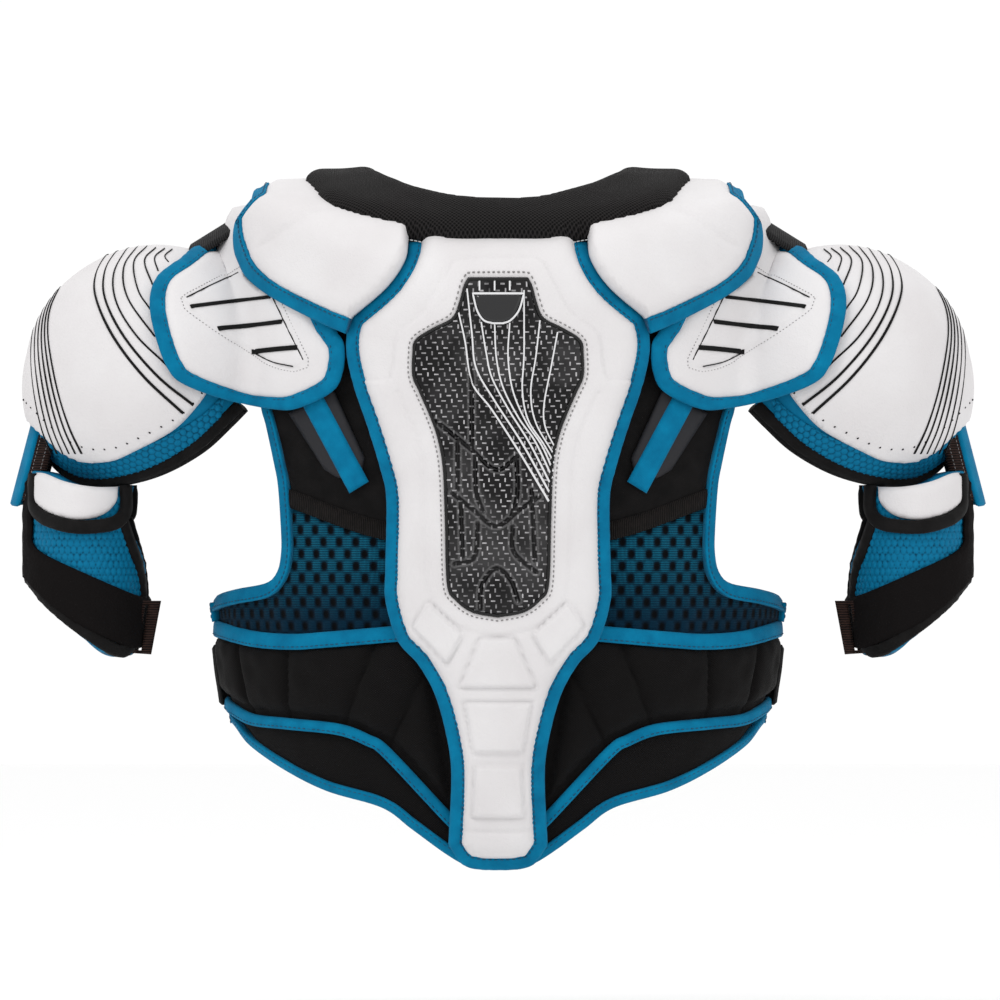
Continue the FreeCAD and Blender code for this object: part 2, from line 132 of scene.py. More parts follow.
def even(p, step):
    """A closed outline with evenly spaced points."""
    return resample(shut(p), step)[:-1]


def flip(run):
    return [(-x, z) for x, z in reversed(run)]


def mirrored(run, skip=1):
    """A run down the left side, and on up the right side."""
    return np.vstack([run, (run * [-1, 1])[::-1][skip:]])


def normals2d(p, closed=False):
    """Left-hand normals of a polyline."""
    if closed:
        d = np.roll(p, -1, axis=0) - np.roll(p, 1, axis=0)
    else:
        d = np.gradient(p, axis=0)
    d /= np.maximum(np.linalg.norm(d, axis=1, keepdims=True), 1e-9)
    return np.column_stack([-d[:, 1], d[:, 0]])


def offset(p, distance, closed=False):
    p = np.array(p, float)
    return p + normals2d(p, closed) * distance


def area2d(p):
    return 0.5 * np.sum(p[:, 0] * np.roll(p[:, 1], -1) - np.roll(p[:, 0], -1) * p[:, 1])


def inside(q, poly):
    x, y = q[:, 0:1], q[:, 1:2]
    x0, y0 = poly[:, 0], poly[:, 1]
    x1, y1 = np.roll(x0, -1), np.roll(y0, -1)
    with np.errstate(divide="ignore", invalid="ignore"):
        cross = ((y0 > y) != (y1 > y)) & (x < (x1 - x0) * (y - y0) / (y1 - y0) + x0)
    return cross.sum(axis=1) % 2 == 1


def distance(q, line, closed=True):
    """Distance from points to a polyline."""
    a = line
    b = np.roll(line, -1, axis=0) if closed else line[1:]
    a = a if closed else line[:-1]
    best = np.full(len(q), 1e9)
    for start in range(0, len(q), 4000):
        part = q[start:start + 4000, None, :]
        ab = b - a
        t = np.clip(((part - a) * ab).sum(-1) / np.maximum((ab ** 2).sum(-1), 1e-9), 0, 1)
        best[start:start + 4000] = np.linalg.norm(part - (a + t[..., None] * ab), axis=-1).min(1)
    return best


def rise(d, width, power=2.0):
    """0 at an edge to 1 at width from it, with a rounded shoulder."""
    t = np.clip(d / width, 0, 1)
    return (1 - (1 - t) ** power) ** (1 / power)


def hexagons(u, v, pitch):
    """Distance from the nearest cell edge of a honeycomb, 0 on the edge."""
    size = np.array([1.0, math.sqrt(3)]) * pitch
    p = np.column_stack([u, v])
    a = np.mod(p, size) - size / 2
    b = np.mod(p - size / 2, size) - size / 2
    g = np.abs(np.where((np.linalg.norm(a, axis=1) < np.linalg.norm(b, axis=1))[:, None], a, b))
    return pitch / 2 - np.maximum(g[:, 0], g[:, 0] * 0.5 + g[:, 1] * 0.8660254)


# ================================================================ forms and their 2-D coordinates

A, B, C, ZM = 177, 112, 380, -150        # barrel of the torso
AA, AB, AC, AZ = 900, 114, 80, -60       # arch over the shoulders
CAP_X, CAP_Z, CAP_R = -207, -82, 81      # ball of the left cap
ARM_X, ARM_Z, ARM_A, ARM_B, ARM_C = -250, -195, 36, 56, 300


def root(value):
    return np.sqrt(np.maximum(value, 1e-9))


class Back:
    """Coordinates are x and z seen from behind; the surface is the back of the torso."""

    def point(self, u, v, off=0):
        barrel = (B + off) * root(1 - (u / (A + off)) ** 2 - ((v - ZM) / (C + off)) ** 2)
        arch = (AB + off) * root(1 - (u / AA) ** 2 - (np.maximum(v - AZ, 0) / (AC + off)) ** 2)
        return np.column_stack([u, -smooth_min(barrel, arch, 8), v])

    def flat(self, p, off=0):
        return np.array(p, float)


class Front(Back):
    """Coordinates are x and z; the surface is the front of the torso."""

    def point(self, u, v, off=0):
        return super().point(u, v, off) * [1, -1, 1]


class Over:
    """Coordinates are x and the way from the top of the shoulder towards the back.
    A ray leaves the line y = 0, z = z0 at an angle v / RADIUS from upright."""
    RADIUS = 100.0

    def __init__(self, z0=AZ, ball=False):
        self.z0, self.ball = z0, ball

    def reach(self, x, angle, off):
        s, c = np.sin(angle), np.cos(angle)
        qa = (c / (C + off)) ** 2 + (s / (B + off)) ** 2
        qb = (self.z0 - ZM) * c / (C + off) ** 2
        qc = ((self.z0 - ZM) / (C + off)) ** 2 + (x / (A + off)) ** 2 - 1
        barrel = np.where(qc < 0, (-qb + root(qb ** 2 - qa * qc)) / qa, 0)
        lift = self.z0 - AZ
        ta = (c / (AC + off)) ** 2 + (s / (AB + off)) ** 2
        tb = lift * c / (AC + off) ** 2
        tc = (lift / (AC + off)) ** 2 + (x / AA) ** 2 - 1
        arch = (-tb + root(tb ** 2 - ta * tc)) / ta
        arch = np.where(self.z0 + arch * c > AZ, arch, 400)
        form = smooth_min(barrel, arch, 10)
        if not self.ball:
            return form
        radius = CAP_R + 3 + (off - 3.6)
        gap = self.z0 - CAP_Z
        dome = -gap * c + root((gap * c) ** 2 - gap ** 2 + radius ** 2 - (x - CAP_X) ** 2)
        return smooth_max(np.maximum(form, 0), dome, 22)

    def point(self, u, v, off=0):
        angle = v / self.RADIUS
        r = self.reach(u, angle, off)
        return np.column_stack([u, -r * np.sin(angle), self.z0 + r * np.cos(angle)])

    def flat(self, p, off=0):
        """From x and z seen from behind to these coordinates."""
        p = np.array(p, float)
        low, high = np.zeros(len(p)), np.full(len(p), math.pi)
        for _ in range(40):
            mid = (low + high) / 2
            above = self.z0 + self.reach(p[:, 0], mid, off) * np.cos(mid) > p[:, 1]
            low, high = np.where(above, mid, low), np.where(above, high, mid)
        return np.column_stack([p[:, 0], low * self.RADIUS])

    def plan(self, p, off=0):
        """From x and y seen from above, over the whole top, to these coordinates."""
        p = np.array(p, float)
        low, high = np.zeros(len(p)), np.full(len(p), 1.9)
        for _ in range(40):
            mid = (low + high) / 2
            short = self.reach(p[:, 0], mid, off) * np.sin(mid) < np.abs(p[:, 1])
            low, high = np.where(short, mid, low), np.where(short, high, mid)
        return np.column_stack([p[:, 0], -np.sign(p[:, 1]) * low * self.RADIUS])


class Round:
    """Coordinates are the way round an upright barrel from its back, and z."""

    def __init__(self, cx=0, a=A, b=B, c=C, zm=ZM, radius=150.0):
        self.cx, self.a, self.b, self.c, self.zm, self.radius = cx, a, b, c, zm, radius

    def scale(self, z, off):
        return root(1 - ((z - self.zm) / (self.c + off)) ** 2)

    def point(self, u, v, off=0):
        t, k = u / self.radius, self.scale(v, off)
        return np.column_stack([self.cx + (self.a + off) * k * np.sin(t),
                                -(self.b + off) * k * np.cos(t), v])

    def flat(self, p, off=0):
        p = np.array(p, float)
        s = (p[:, 0] - self.cx) / ((self.a + off) * self.scale(p[:, 1], off))
        return np.column_stack([np.arcsin(np.clip(s, -1, 1)) * self.radius, p[:, 1]])


BACK, FRONT = Back(), Front()
OVER, WING = Over(), Over(CAP_Z, ball=True)
ROUND = Round()
ARM = Round(ARM_X, ARM_A, ARM_B, ARM_C, ARM_Z, 46.0)


def lift(form, uv, height, base=0.0):
    """Points at a height over the form grown by base, measured along its normal."""
    u, v = uv[:, 0], uv[:, 1]
    p = form.point(u, v, base)
    e = 0.4
    du = form.point(u + e, v, base) - form.point(u - e, v, base)
    dv = form.point(u, v + e, base) - form.point(u, v - e, base)
    n = np.cross(du, dv)
    n /= np.maximum(np.linalg.norm(n, axis=1, keepdims=True), 1e-9)
    middle = [ARM_X, 0, ARM_Z] if form is ARM else [p[:, 0].mean() * 0.5, 0, -120]
    if ((p - middle) * n).sum() < 0:
        n = -n
    return p + n * np.reshape(height, (-1, 1))


def trace(form, target, height, base=0.0):
    """A form's coordinates for a line as seen from behind, at a height over the form.
    Points that the form doesn't reach are left out."""
    target = np.asarray(target, float)
    uv = form.flat(target, base)
    high = np.full(len(uv), float(height))
    seen = lambda q: lift(form, q, high, base)[:, [0, 2]]
    for _ in range(8):
        here = seen(uv)
        a, b = (seen(uv + [0.6, 0]) - here) / 0.6, (seen(uv + [0, 0.6]) - here) / 0.6
        size = a[:, 0] * b[:, 1] - a[:, 1] * b[:, 0]
        size = np.where(np.abs(size) < 0.15, np.where(size < 0, -0.15, 0.15), size)
        e = target - here
        change = np.column_stack([e[:, 0] * b[:, 1] - e[:, 1] * b[:, 0],
                                  e[:, 1] * a[:, 0] - e[:, 0] * a[:, 1]]) / size[:, None]
        uv = uv + np.clip(change, -4, 4)
    return uv[np.linalg.norm(target - seen(uv), axis=1) < 1.0]


def along(form, uv, path, base=0.0):
    """How far points lie along a path and away from it, measured on the surface."""
    flat = lambda q: lift(form, q, np.zeros(len(q)), base)
    p, q = flat(uv), flat(path)
    run = np.r_[0, np.cumsum(np.linalg.norm(np.diff(q, axis=0), axis=1))]
    near = np.concatenate([np.linalg.norm(part[:, None] - q, axis=-1).argmin(1)
                           for part in np.array_split(p, max(len(p) // 3000, 1))])
    way = np.gradient(q, axis=0)
    way /= np.linalg.norm(way, axis=1, keepdims=True)
    off = p - q[near]
    forward = (off * way[near]).sum(1)
    return run[near] + forward, np.linalg.norm(off - way[near] * forward[:, None], axis=1)


# ================================================================ meshes

def build(name, verts, faces, material, attributes=None, smooth=True):
    """Mesh object from points in millimetres."""
    mesh = bpy.data.meshes.new(name)
    mesh.from_pydata((np.asarray(verts) * MM).tolist(), [], [list(map(int, f)) for f in faces])
    for key, values in (attributes or {}).items():
        layer = mesh.attributes.new(key, "FLOAT_VECTOR", "POINT")
        layer.data.foreach_set("vector", np.asarray(values, np.float32).ravel())
    mesh.polygons.foreach_set("use_smooth", [smooth] * len(mesh.polygons))
    mesh.update()
    obj = bpy.data.objects.new(name, mesh)
    bpy.context.scene.collection.objects.link(obj)
    obj.data.materials.append(material)
    return obj


def fill(outline, spacing, holes=()):
    """Even triangles inside a 2-D outline; the outline's own points come first."""
    loops = [outline, *holes]
    low, high = outline.min(0), outline.max(0)
    grid = []
    for k, z in enumerate(np.arange(low[1], high[1], spacing * 0.866)):
        x = np.arange(low[0] + (k % 2) * spacing / 2, high[0], spacing)
        grid.append(np.column_stack([x, np.full(len(x), z)]))
    q = np.vstack(grid)
    q = q[inside(q, outline)]
    for hole in holes:
        q = q[~inside(q, hole)]
    for loop in loops:
        q = q[distance(q, loop) > spacing * 0.55]
    verts, edges = [], []
    for loop in loops:
        start = len(verts)
        verts += [tuple(p) for p in loop]
        edges += [(start + k, start + (k + 1) % len(loop)) for k in range(len(loop))]
    verts += [tuple(p) for p in q]
    result = delaunay_2d_cdt([Vector(v) for v in verts], edges, [], 1, 1e-5)
    uv = np.array([tuple(v) for v in result[0]])
    faces = np.array([f for f in result[2]])
    if holes:
        centre = uv[faces].mean(1)
        bad = np.zeros(len(faces), bool)
        for hole in holes:
            bad |= inside(centre, hole)
        faces = faces[~bad]
    return uv, faces


def rim_edges(faces):
    """Edges that only one triangle has."""
    seen = dict.fromkeys((f[k], f[(k + 1) % 3]) for f in faces for k in range(3))
    return [(a, b) for a, b in seen if (b, a) not in seen]


def panel(name, form, outline, top, bottom, material, spacing=2.5, base=0.0, holes=()):
    """Closed padded piece: top and bottom are heights, numbers or functions of (uv, edge distance)."""
    if area2d(outline) < 0:
        outline = outline[::-1]
    uv, faces = fill(outline, spacing, holes)
    d = distance(uv, outline)
    for hole in holes:
        d = np.minimum(d, distance(uv, hole))
    on = lambda h: h(uv, d) if callable(h) else np.full(len(uv), float(h))
    high, low = lift(form, uv, on(top), base), lift(form, uv, on(bottom), base)
    count = len(uv)
    walls = [(a, b, b + count, a + count) for a, b in rim_edges(faces)]
    verts = np.vstack([high, low])
    everything = [tuple(f[::-1]) for f in faces] + [tuple(f + count) for f in faces] + walls
    if outward(verts, everything[:len(faces)], verts[:count] - verts[count:]):
        everything = [f[::-1] for f in everything]
    pat = np.column_stack([uv, d])
    return build(name, verts, everything, material, {"pat": np.vstack([pat, pat])})


def outward(verts, faces, want):
    """True when the top's faces point the wrong way and all faces have to be turned over."""
    f = np.array(faces[:: max(len(faces) // 200, 1)])
    n = np.cross(verts[f[:, 1]] - verts[f[:, 0]], verts[f[:, 2]] - verts[f[:, 0]])
    return (n * want[f[:, 0]]).sum() < 0


def tube(count, size, closed=False, first=0):
    """Faces round rings of points, with end caps unless the tube is closed."""
    faces = []
    for i in range(count if closed else count - 1):
        a, b = first + i * size, first + (i + 1) % count * size
        faces += [(a + k, a + (k + 1) % size, b + (k + 1) % size, b + k) for k in range(size)]
    if not closed:
        last = first + (count - 1) * size
        faces += [tuple(range(first, first + size))[::-1], tuple(range(last, last + size))]
    return faces


def sweep(name, form, path, section, material, closed=False, base=0.0, pucker=0.0, seed=1):
    """Closed section of (inward, height) points along a path of 2-D points."""
    normal = normals2d(path, closed)
    run = np.r_[0, np.cumsum(np.linalg.norm(np.diff(path, axis=0), axis=1))]
    size, rows = len(section), []
    for k, (inward, height) in enumerate(section):
        bump = pucker * wobble(run, np.full(len(run), k * 3.0), 7.0, seed) if height > 0 else 0
        rows.append(lift(form, path + normal * inward, height + bump, base))
    verts = np.stack(rows, axis=1).reshape(-1, 3)
    count = len(path)
    across = np.cumsum(np.r_[0, np.linalg.norm(np.diff(np.array(section), axis=0), axis=1)])
    pat = np.column_stack([np.repeat(run, size), np.tile(across, count), np.zeros(count * size)])
    return fix_normals(build(name, verts, tube(count, size, closed), material, {"pat": pat}))


def fix_normals(obj):
    """Turn all faces of a closed piece outwards."""
    bm = bmesh.new()
    bm.from_mesh(obj.data)
    bmesh.ops.recalc_face_normals(bm, faces=bm.faces)
    bm.to_mesh(obj.data)
    bm.free()
    return obj


def tape_section(width, edge, thick, inner):
    """Folded tape: from its inner top edge round the panel's edge to the underside."""
    return [(width, inner - 1.0), (width, inner + 0.35), (width - 0.7, inner + 0.75),
            (width * 0.72, inner * 0.5 + (edge + thick) * 0.5 + 0.6), (width * 0.42, edge + thick),
            (width * 0.18, edge + thick * 0.82), (0.3, edge + thick * 0.4), (0, edge),
            (0.4, edge - thick * 0.5), (width * 0.3, edge - thick), (width, edge - thick)]


def stitches(name, form, path, height, material, pitch=3.4, length=2.3, radius=0.36, base=0.0):
    """A row of small thread loops lying along a path."""
    line = lift(form, path, np.zeros(len(path)), base)
    run = np.r_[0, np.cumsum(np.linalg.norm(np.diff(line, axis=0), axis=1))]
    centres = np.arange(pitch / 2, run[-1], pitch)
    at = lambda s: np.column_stack([np.interp(s, run, path[:, 0]), np.interp(s, run, path[:, 1])])
    heights = height if np.ndim(height) else np.full(len(path), float(height))
    n = normals2d(path)
    verts = []
    for ahead, size in ((-0.5, 0.25), (-0.3, 0.9), (0.3, 0.9), (0.5, 0.25)):
        s = np.clip(centres + ahead * length, 0, run[-1])
        uv, h = at(s), np.interp(s, run, heights)
        side = np.column_stack([np.interp(s, run, n[:, 0]), np.interp(s, run, n[:, 1])])
        for across, up in ((-1, 0), (0, 1), (1, 0), (0, -1)):
            verts.append(lift(form, uv + side * across * radius * size,
                              h + up * radius * size, base))
    verts = np.stack(verts, axis=1).reshape(-1, 3)
    faces = [face for k in range(len(centres)) for face in tube(4, 4, first=k * 16)]
    return fix_normals(build(name, verts, faces, material, {"pat": verts}))


def ribbon(name, form, path, width, low, high, material, base=0.0, closed=False):
    """Flat band centred on a path; width may vary along it."""
    half = np.broadcast_to(np.asarray(width, float), (len(path),)) / 2
    normal = normals2d(path, closed)
    sides = [lift(form, path + normal * k, np.zeros(len(path)), base) for k in (-0.5, 0.5)]
    half = half / np.linalg.norm(sides[1] - sides[0], axis=1)
    corners = [(-1, low), (-1, high), (1, high), (1, low)]
    rows = [lift(form, path + normal * (side * half)[:, None], h, base) for side, h in corners]
    verts = np.stack(rows, axis=1).reshape(-1, 3)
    faces = tube(len(path), 4, closed)
    return fix_normals(build(name, verts, faces, material, {"pat": verts}, smooth=False))


def join(name, objects):
    """Join pieces into the first one."""
    bpy.ops.object.select_all(action="DESELECT")
    for obj in objects:
        obj.select_set(True)
    bpy.context.view_layer.objects.active = objects[0]
    bpy.ops.object.join()
    objects[0].name = name
    return objects[0]


def mirror(obj, name):
    """The same piece on the other side."""
    other = obj.copy()
    other.data = obj.data.copy()
    other.name = name
    bpy.context.scene.collection.objects.link(other)
    count = len(other.data.vertices)
    co = np.empty(count * 3, np.float32)
    other.data.vertices.foreach_get("co", co)
    co = co.reshape(-1, 3) * [-1, 1, 1]
    other.data.vertices.foreach_set("co", co.ravel())
    other.data.flip_normals()
    other.data.update()
    return other


class Dome:
    """Coordinates spread over the left cap's ball from a pole that points up and outwards.
    The ball is let out a little low on its outer side."""
    POLE = np.array([-0.78, 0.0, 0.6258])
    BACKWARD = np.array([0.0, -1.0, 0.0])
    LET_OUT = np.array([-0.82, 0.0, -0.57])

    def __init__(self):
        self.third = np.cross(self.POLE, self.BACKWARD)

    def radius(self, unit, off):
        return CAP_R + off + 3.5 * np.clip((unit @ self.LET_OUT - 0.7) / 0.3, 0, 1)

    def point(self, u, v, off=0):
        rho = np.maximum(np.hypot(u, v), 1e-9)
        angle = rho / CAP_R
        way = (np.outer(u / rho, self.BACKWARD) + np.outer(v / rho, self.third))
        unit = np.outer(np.cos(angle), self.POLE) + way * np.sin(angle)[:, None]
        return [CAP_X, 0, CAP_Z] + unit * self.radius(unit, off)[:, None]

    def flat(self, p, off=0):
        """From x and z seen from behind to these coordinates."""
        d = np.array(p, float) - [CAP_X, CAP_Z]
        long = np.maximum(np.linalg.norm(d, axis=1), 1e-9)
        radius = np.full(len(d), CAP_R + off, float)
        for _ in range(6):
            side = d * np.minimum(1, radius / long)[:, None]
            y = -np.sqrt(np.maximum(radius ** 2 - (side ** 2).sum(1), 0))
            unit = np.column_stack([side[:, 0], y, side[:, 1]]) / radius[:, None]
            radius = self.radius(unit, off)
        angle = np.arccos(np.clip(unit @ self.POLE, -1, 1))
        side = np.column_stack([unit @ self.BACKWARD, unit @ self.third])
        side /= np.maximum(np.linalg.norm(side, axis=1, keepdims=True), 1e-9)
        return side * (angle * CAP_R)[:, None]


DOME = Dome()


# ================================================================ materials

def node(tree, kind, props=None, **inputs):
    n = tree.nodes.new(kind)
    for key, value in (props or {}).items():
        setattr(n, key, value)
    for key, value in inputs.items():
        socket = n.inputs[int(key[1:])] if key[1:].isdigit() else n.inputs[key.replace("_", " ")]
        if isinstance(value, bpy.types.NodeSocket):
            tree.links.new(value, socket)
        else:
            socket.default_value = value
    return n


def blank_material(name, rough, sheen=0.0, specular=0.2):
    mat = bpy.data.materials.new(name)
    mat.use_nodes = True
    shader = mat.node_tree.nodes["Principled BSDF"]
    shader.inputs["Roughness"].default_value = rough
    shader.inputs["Specular IOR Level"].default_value = specular
    shader.inputs["Sheen Weight"].default_value = sheen
    shader.inputs["Sheen Roughness"].default_value = 0.4
    return mat, mat.node_tree, shader


def calc(tree, operation, a, b=0.0, c=0.0):
    return node(tree, "ShaderNodeMath", {"operation": operation}, i0=a, i1=b, i2=c).outputs[0]


def place(tree):
    return node(tree, "ShaderNodeTexCoord").outputs["Object"]


def pattern(tree):
    """The piece's own 2-D coordinates in millimetres."""
    return node(tree, "ShaderNodeAttribute", {"attribute_name": "pat"}).outputs["Vector"]


def noise(tree, scale, detail=3.0):
    return node(tree, "ShaderNodeTexNoise", Vector=place(tree), Scale=scale,
                Detail=detail).outputs["Fac"]


def ramp(tree, factor, *stops):
    n = node(tree, "ShaderNodeValToRGB", Fac=factor)
    while len(n.color_ramp.elements) < len(stops):
        n.color_ramp.elements.new(0.5)
    for element, (at, colour) in zip(n.color_ramp.elements, stops):
        element.position, element.color = at, (*colour, 1)
    return n.outputs["Color"]


def mix(tree, factor, a, b):
    n = node(tree, "ShaderNodeMix", {"data_type": "RGBA"})
    for socket, value in ((n.inputs[0], factor), (n.inputs[6], a), (n.inputs[7], b)):
        if isinstance(value, bpy.types.NodeSocket):
            tree.links.new(value, socket)
        else:
            socket.default_value = value if np.ndim(value) == 0 else (*value, 1)
    return n.outputs[2]


def bump(tree, shader, height, distance, strength=1.0):
    n = node(tree, "ShaderNodeBump", Height=height, Distance=distance, Strength=strength)
    tree.links.new(n.outputs["Normal"], shader.inputs["Normal"])


def weave(tree, pitch):
    """Over-and-under threads, 0 in the gaps to 1 on the threads."""
    xyz = node(tree, "ShaderNodeSeparateXYZ", Vector=pattern(tree))
    wave = [calc(tree, "SINE", calc(tree, "MULTIPLY", xyz.outputs[k], 6.283 / pitch))
            for k in (0, 1)]
    return calc(tree, "MULTIPLY_ADD", calc(tree, "MULTIPLY", wave[0], wave[1]), 0.5, 0.5)


def leather(name, light, dark):
    """Smooth coated cover with a fine grain."""
    mat, tree, shader = blank_material(name, 0.5, specular=0.3)
    soft = noise(tree, 22, 4)
    fine = node(tree, "ShaderNodeTexVoronoi", {"feature": "F1"}, Vector=place(tree),
                Scale=900).outputs["Distance"]
    tree.links.new(mix(tree, ramp(tree, soft, (0.35, (0, 0, 0)), (0.65, (1, 1, 1))), dark, light),
                   shader.inputs["Base Color"])
    tree.links.new(calc(tree, "MULTIPLY_ADD", noise(tree, 160, 3), 0.22, 0.4),
                   shader.inputs["Roughness"])
    bump(tree, shader, calc(tree, "MULTIPLY_ADD", fine, 0.6, noise(tree, 420, 4)), 0.00016)
    return mat


def cloth(name, light, dark, pitch, depth=0.00012):
    """Woven cloth or tape."""
    mat, tree, shader = blank_material(name, 0.8, 0.04, specular=0.08)
    threads = weave(tree, pitch)
    worn = calc(tree, "MULTIPLY_ADD", noise(tree, 90, 4), 0.9, calc(tree, "MULTIPLY", threads, 0.35))
    tree.links.new(ramp(tree, worn, (0.25, dark), (0.95, light)), shader.inputs["Base Color"])
    bump(tree, shader, calc(tree, "MULTIPLY_ADD", threads, 1.0, noise(tree, 700, 2)), depth)
    return mat


def cells(name, light, groove):
    """Moulded foam: the third pattern value is the height within a cell, in millimetres; the low parts
    are painted near black as shade in the grooves.
    """
    mat, tree, shader = blank_material(name, 0.7, specular=0.1)
    height = node(tree, "ShaderNodeSeparateXYZ", Vector=pattern(tree)).outputs[2]
    tone = node(tree, "ShaderNodeMapRange", i0=height, i1=0.0, i2=CELL_RISE).outputs[0]
    # Painted shade: the colour goes to the near-black groove colour where the foam is low, between the
    # cells; the specks below mix the same dark colour in at random.
    colour = ramp(tree, tone, (0.0, groove), (0.7, light))
    speck = noise(tree, 320, 5)
    tree.links.new(mix(tree, calc(tree, "MULTIPLY", speck, 0.3), colour, groove),
                   shader.inputs["Base Color"])
    bump(tree, shader, calc(tree, "MULTIPLY_ADD", speck, 1.0, noise(tree, 1500, 2)), 0.0002)
    return mat


def ribbed(name, light, dark, pitch, axis=0):
    """Webbing: ribs across the band."""
    mat, tree, shader = blank_material(name, 0.75, 0.02, specular=0.1)
    xyz = node(tree, "ShaderNodeSeparateXYZ", Vector=pattern(tree))
    rib = calc(tree, "SINE", calc(tree, "MULTIPLY", xyz.outputs[axis], 6.283 / pitch))
    tree.links.new(ramp(tree, calc(tree, "MULTIPLY_ADD", rib, 0.35, noise(tree, 260, 3)),
                        (0.2, dark), (0.8, light)), shader.inputs["Base Color"])
    bump(tree, shader, calc(tree, "MULTIPLY_ADD", noise(tree, 900, 2), 0.5, rib), 0.0003)
    return mat


def plain(name, colour, rough=0.5, specular=0.4, grain=0.00005, scale=500):
    """One colour with a little unevenness."""
    mat, tree, shader = blank_material(name, rough, specular=specular)
    shade = noise(tree, scale, 3)
    tree.links.new(mix(tree, calc(tree, "MULTIPLY", shade, 0.35), colour,
                       tuple(0.55 * c for c in colour)), shader.inputs["Base Color"])
    bump(tree, shader, shade, grain)
    return mat


def mesh_cloth(name, thread, gap, pitch, depth=0.0004):
    """Knitted mesh with a small staggered eyelet pattern."""
    mat, tree, shader = blank_material(name, 0.75, 0.02, specular=0.08)
    xyz = node(tree, "ShaderNodeSeparateXYZ", Vector=pattern(tree))
    u = calc(tree, "MULTIPLY", xyz.outputs[0], 3.1416 / pitch)
    v = calc(tree, "MULTIPLY", xyz.outputs[1], 3.1416 / (pitch * 0.62))
    eye = calc(tree, "MULTIPLY", calc(tree, "COSINE", calc(tree, "ADD", u, v)),
               calc(tree, "COSINE", calc(tree, "SUBTRACT", u, v)))
    eye = calc(tree, "ABSOLUTE", eye)
    tree.links.new(ramp(tree, eye, (0.05, thread), (0.8, gap)), shader.inputs["Base Color"])
    bump(tree, shader, calc(tree, "MULTIPLY_ADD", noise(tree, 900, 2), 0.3,
                            calc(tree, "MULTIPLY", eye, -1.0)), depth)
    return mat


def spacer(name):
    """Open knit: bright dotted threads round dark round holes, over a navy ground."""
    mat, tree, shader = blank_material(name, 0.8, 0.02, specular=0.05)
    xyz = node(tree, "ShaderNodeSeparateXYZ", Vector=pattern(tree))
    p = calc(tree, "MULTIPLY", xyz.outputs[0], math.pi / 10.2)
    q = calc(tree, "MULTIPLY", xyz.outputs[1], math.pi / 14.5)
    s, t = calc(tree, "ADD", p, q), calc(tree, "SUBTRACT", p, q)
    squares = [calc(tree, "POWER", calc(tree, "SINE", w), 2.0) for w in (s, t)]
    band = calc(tree, "MULTIPLY", calc(tree, "ADD", *squares), 0.5)
    fine = [calc(tree, "COSINE", calc(tree, "MULTIPLY", w, 14.0)) for w in (s, t)]
    dots = calc(tree, "MULTIPLY_ADD", calc(tree, "MULTIPLY", *fine), 0.5, 0.5)
    open_ = node(tree, "ShaderNodeMapRange", i0=band, i1=0.12, i2=0.6).outputs[0]
    fade = node(tree, "ShaderNodeMapRange", i0=xyz.outputs[1], i1=-229.0, i2=-190.0).outputs[0]
    lit = calc(tree, "MULTIPLY", calc(tree, "POWER", dots, 2.2), open_)
    lit = calc(tree, "MULTIPLY", lit, calc(tree, "MULTIPLY_ADD", fade, 0.8, 0.2))
    ground = mix(tree, open_, (0.0015, 0.002, 0.003), (0.002, 0.018, 0.038))
    tree.links.new(mix(tree, ramp(tree, lit, (0.12, (0, 0, 0)), (0.85, (1, 1, 1))), ground,
                       (0.008, 0.22, 0.36)), shader.inputs["Base Color"])
    bump(tree, shader, calc(tree, "MULTIPLY_ADD", dots, 0.3, band), 0.0016)
    return mat


def carbon(name):
    """Glossy plate printed with short bright dashes that turn from one row to the next, over a black
    ground with patches of painted glare; the creases carry painted shade and painted highlights.
    """
    mat, tree, shader = blank_material(name, 0.28, specular=0.1)
    shader.inputs["Coat Weight"].default_value = 0.25
    shader.inputs["Coat Roughness"].default_value = 0.1
    xyz = node(tree, "ShaderNodeSeparateXYZ", Vector=pattern(tree))
    v = calc(tree, "DIVIDE", xyz.outputs[1], 3.1)
    row = calc(tree, "FLOOR", v)
    u = calc(tree, "MULTIPLY_ADD", row, 0.37, calc(tree, "DIVIDE", xyz.outputs[0], 4.6))
    turn = calc(tree, "FLOORED_MODULO", calc(tree, "ADD", row, calc(tree, "FLOOR", u)), 2.0)
    fu, fv = (calc(tree, "ABSOLUTE", calc(tree, "SUBTRACT", calc(tree, "FRACT", w), 0.5))
              for w in (u, v))
    flat, tall = (calc(tree, "MULTIPLY", calc(tree, "LESS_THAN", fu, wide),
                       calc(tree, "LESS_THAN", fv, high)) for wide, high in ((0.27, 0.13), (0.09, 0.38)))
    dash = calc(tree, "ADD", calc(tree, "MULTIPLY", flat, turn),
                calc(tree, "MULTIPLY", tall, calc(tree, "SUBTRACT", 1.0, turn)))
    glare = ramp(tree, noise(tree, 28, 3), (0.45, (0.0015, 0.0012, 0.0015)),
                 (0.7, (0.035, 0.034, 0.035)))
    patchy = ramp(tree, noise(tree, 95, 4), (0.36, (0.12, 0.12, 0.12)), (0.6, (1, 1, 1)))
    printed = mix(tree, calc(tree, "MULTIPLY", dash, patchy), glare, (0.42, 0.41, 0.42))
    # Painted shade and highlight: the third pattern value is low in a crease, where the colour goes near
    # black, and high on the ridge beside it, where a light grey is painted on as a highlight.
    fold = xyz.outputs[2]
    shine = node(tree, "ShaderNodeMapRange", i0=fold, i1=1.1, i2=2.0).outputs[0]
    dark = node(tree, "ShaderNodeMapRange", i0=fold, i1=0.0, i2=0.8).outputs[0]
    lit = mix(tree, calc(tree, "MULTIPLY", shine, 0.6), printed, (0.14, 0.138, 0.14))
    tree.links.new(mix(tree, dark, (0.0006, 0.0006, 0.0006), lit), shader.inputs["Base Color"])
    bump(tree, shader, calc(tree, "MULTIPLY_ADD", dash, 0.25, noise(tree, 90, 3)), 0.0003)
    return mat


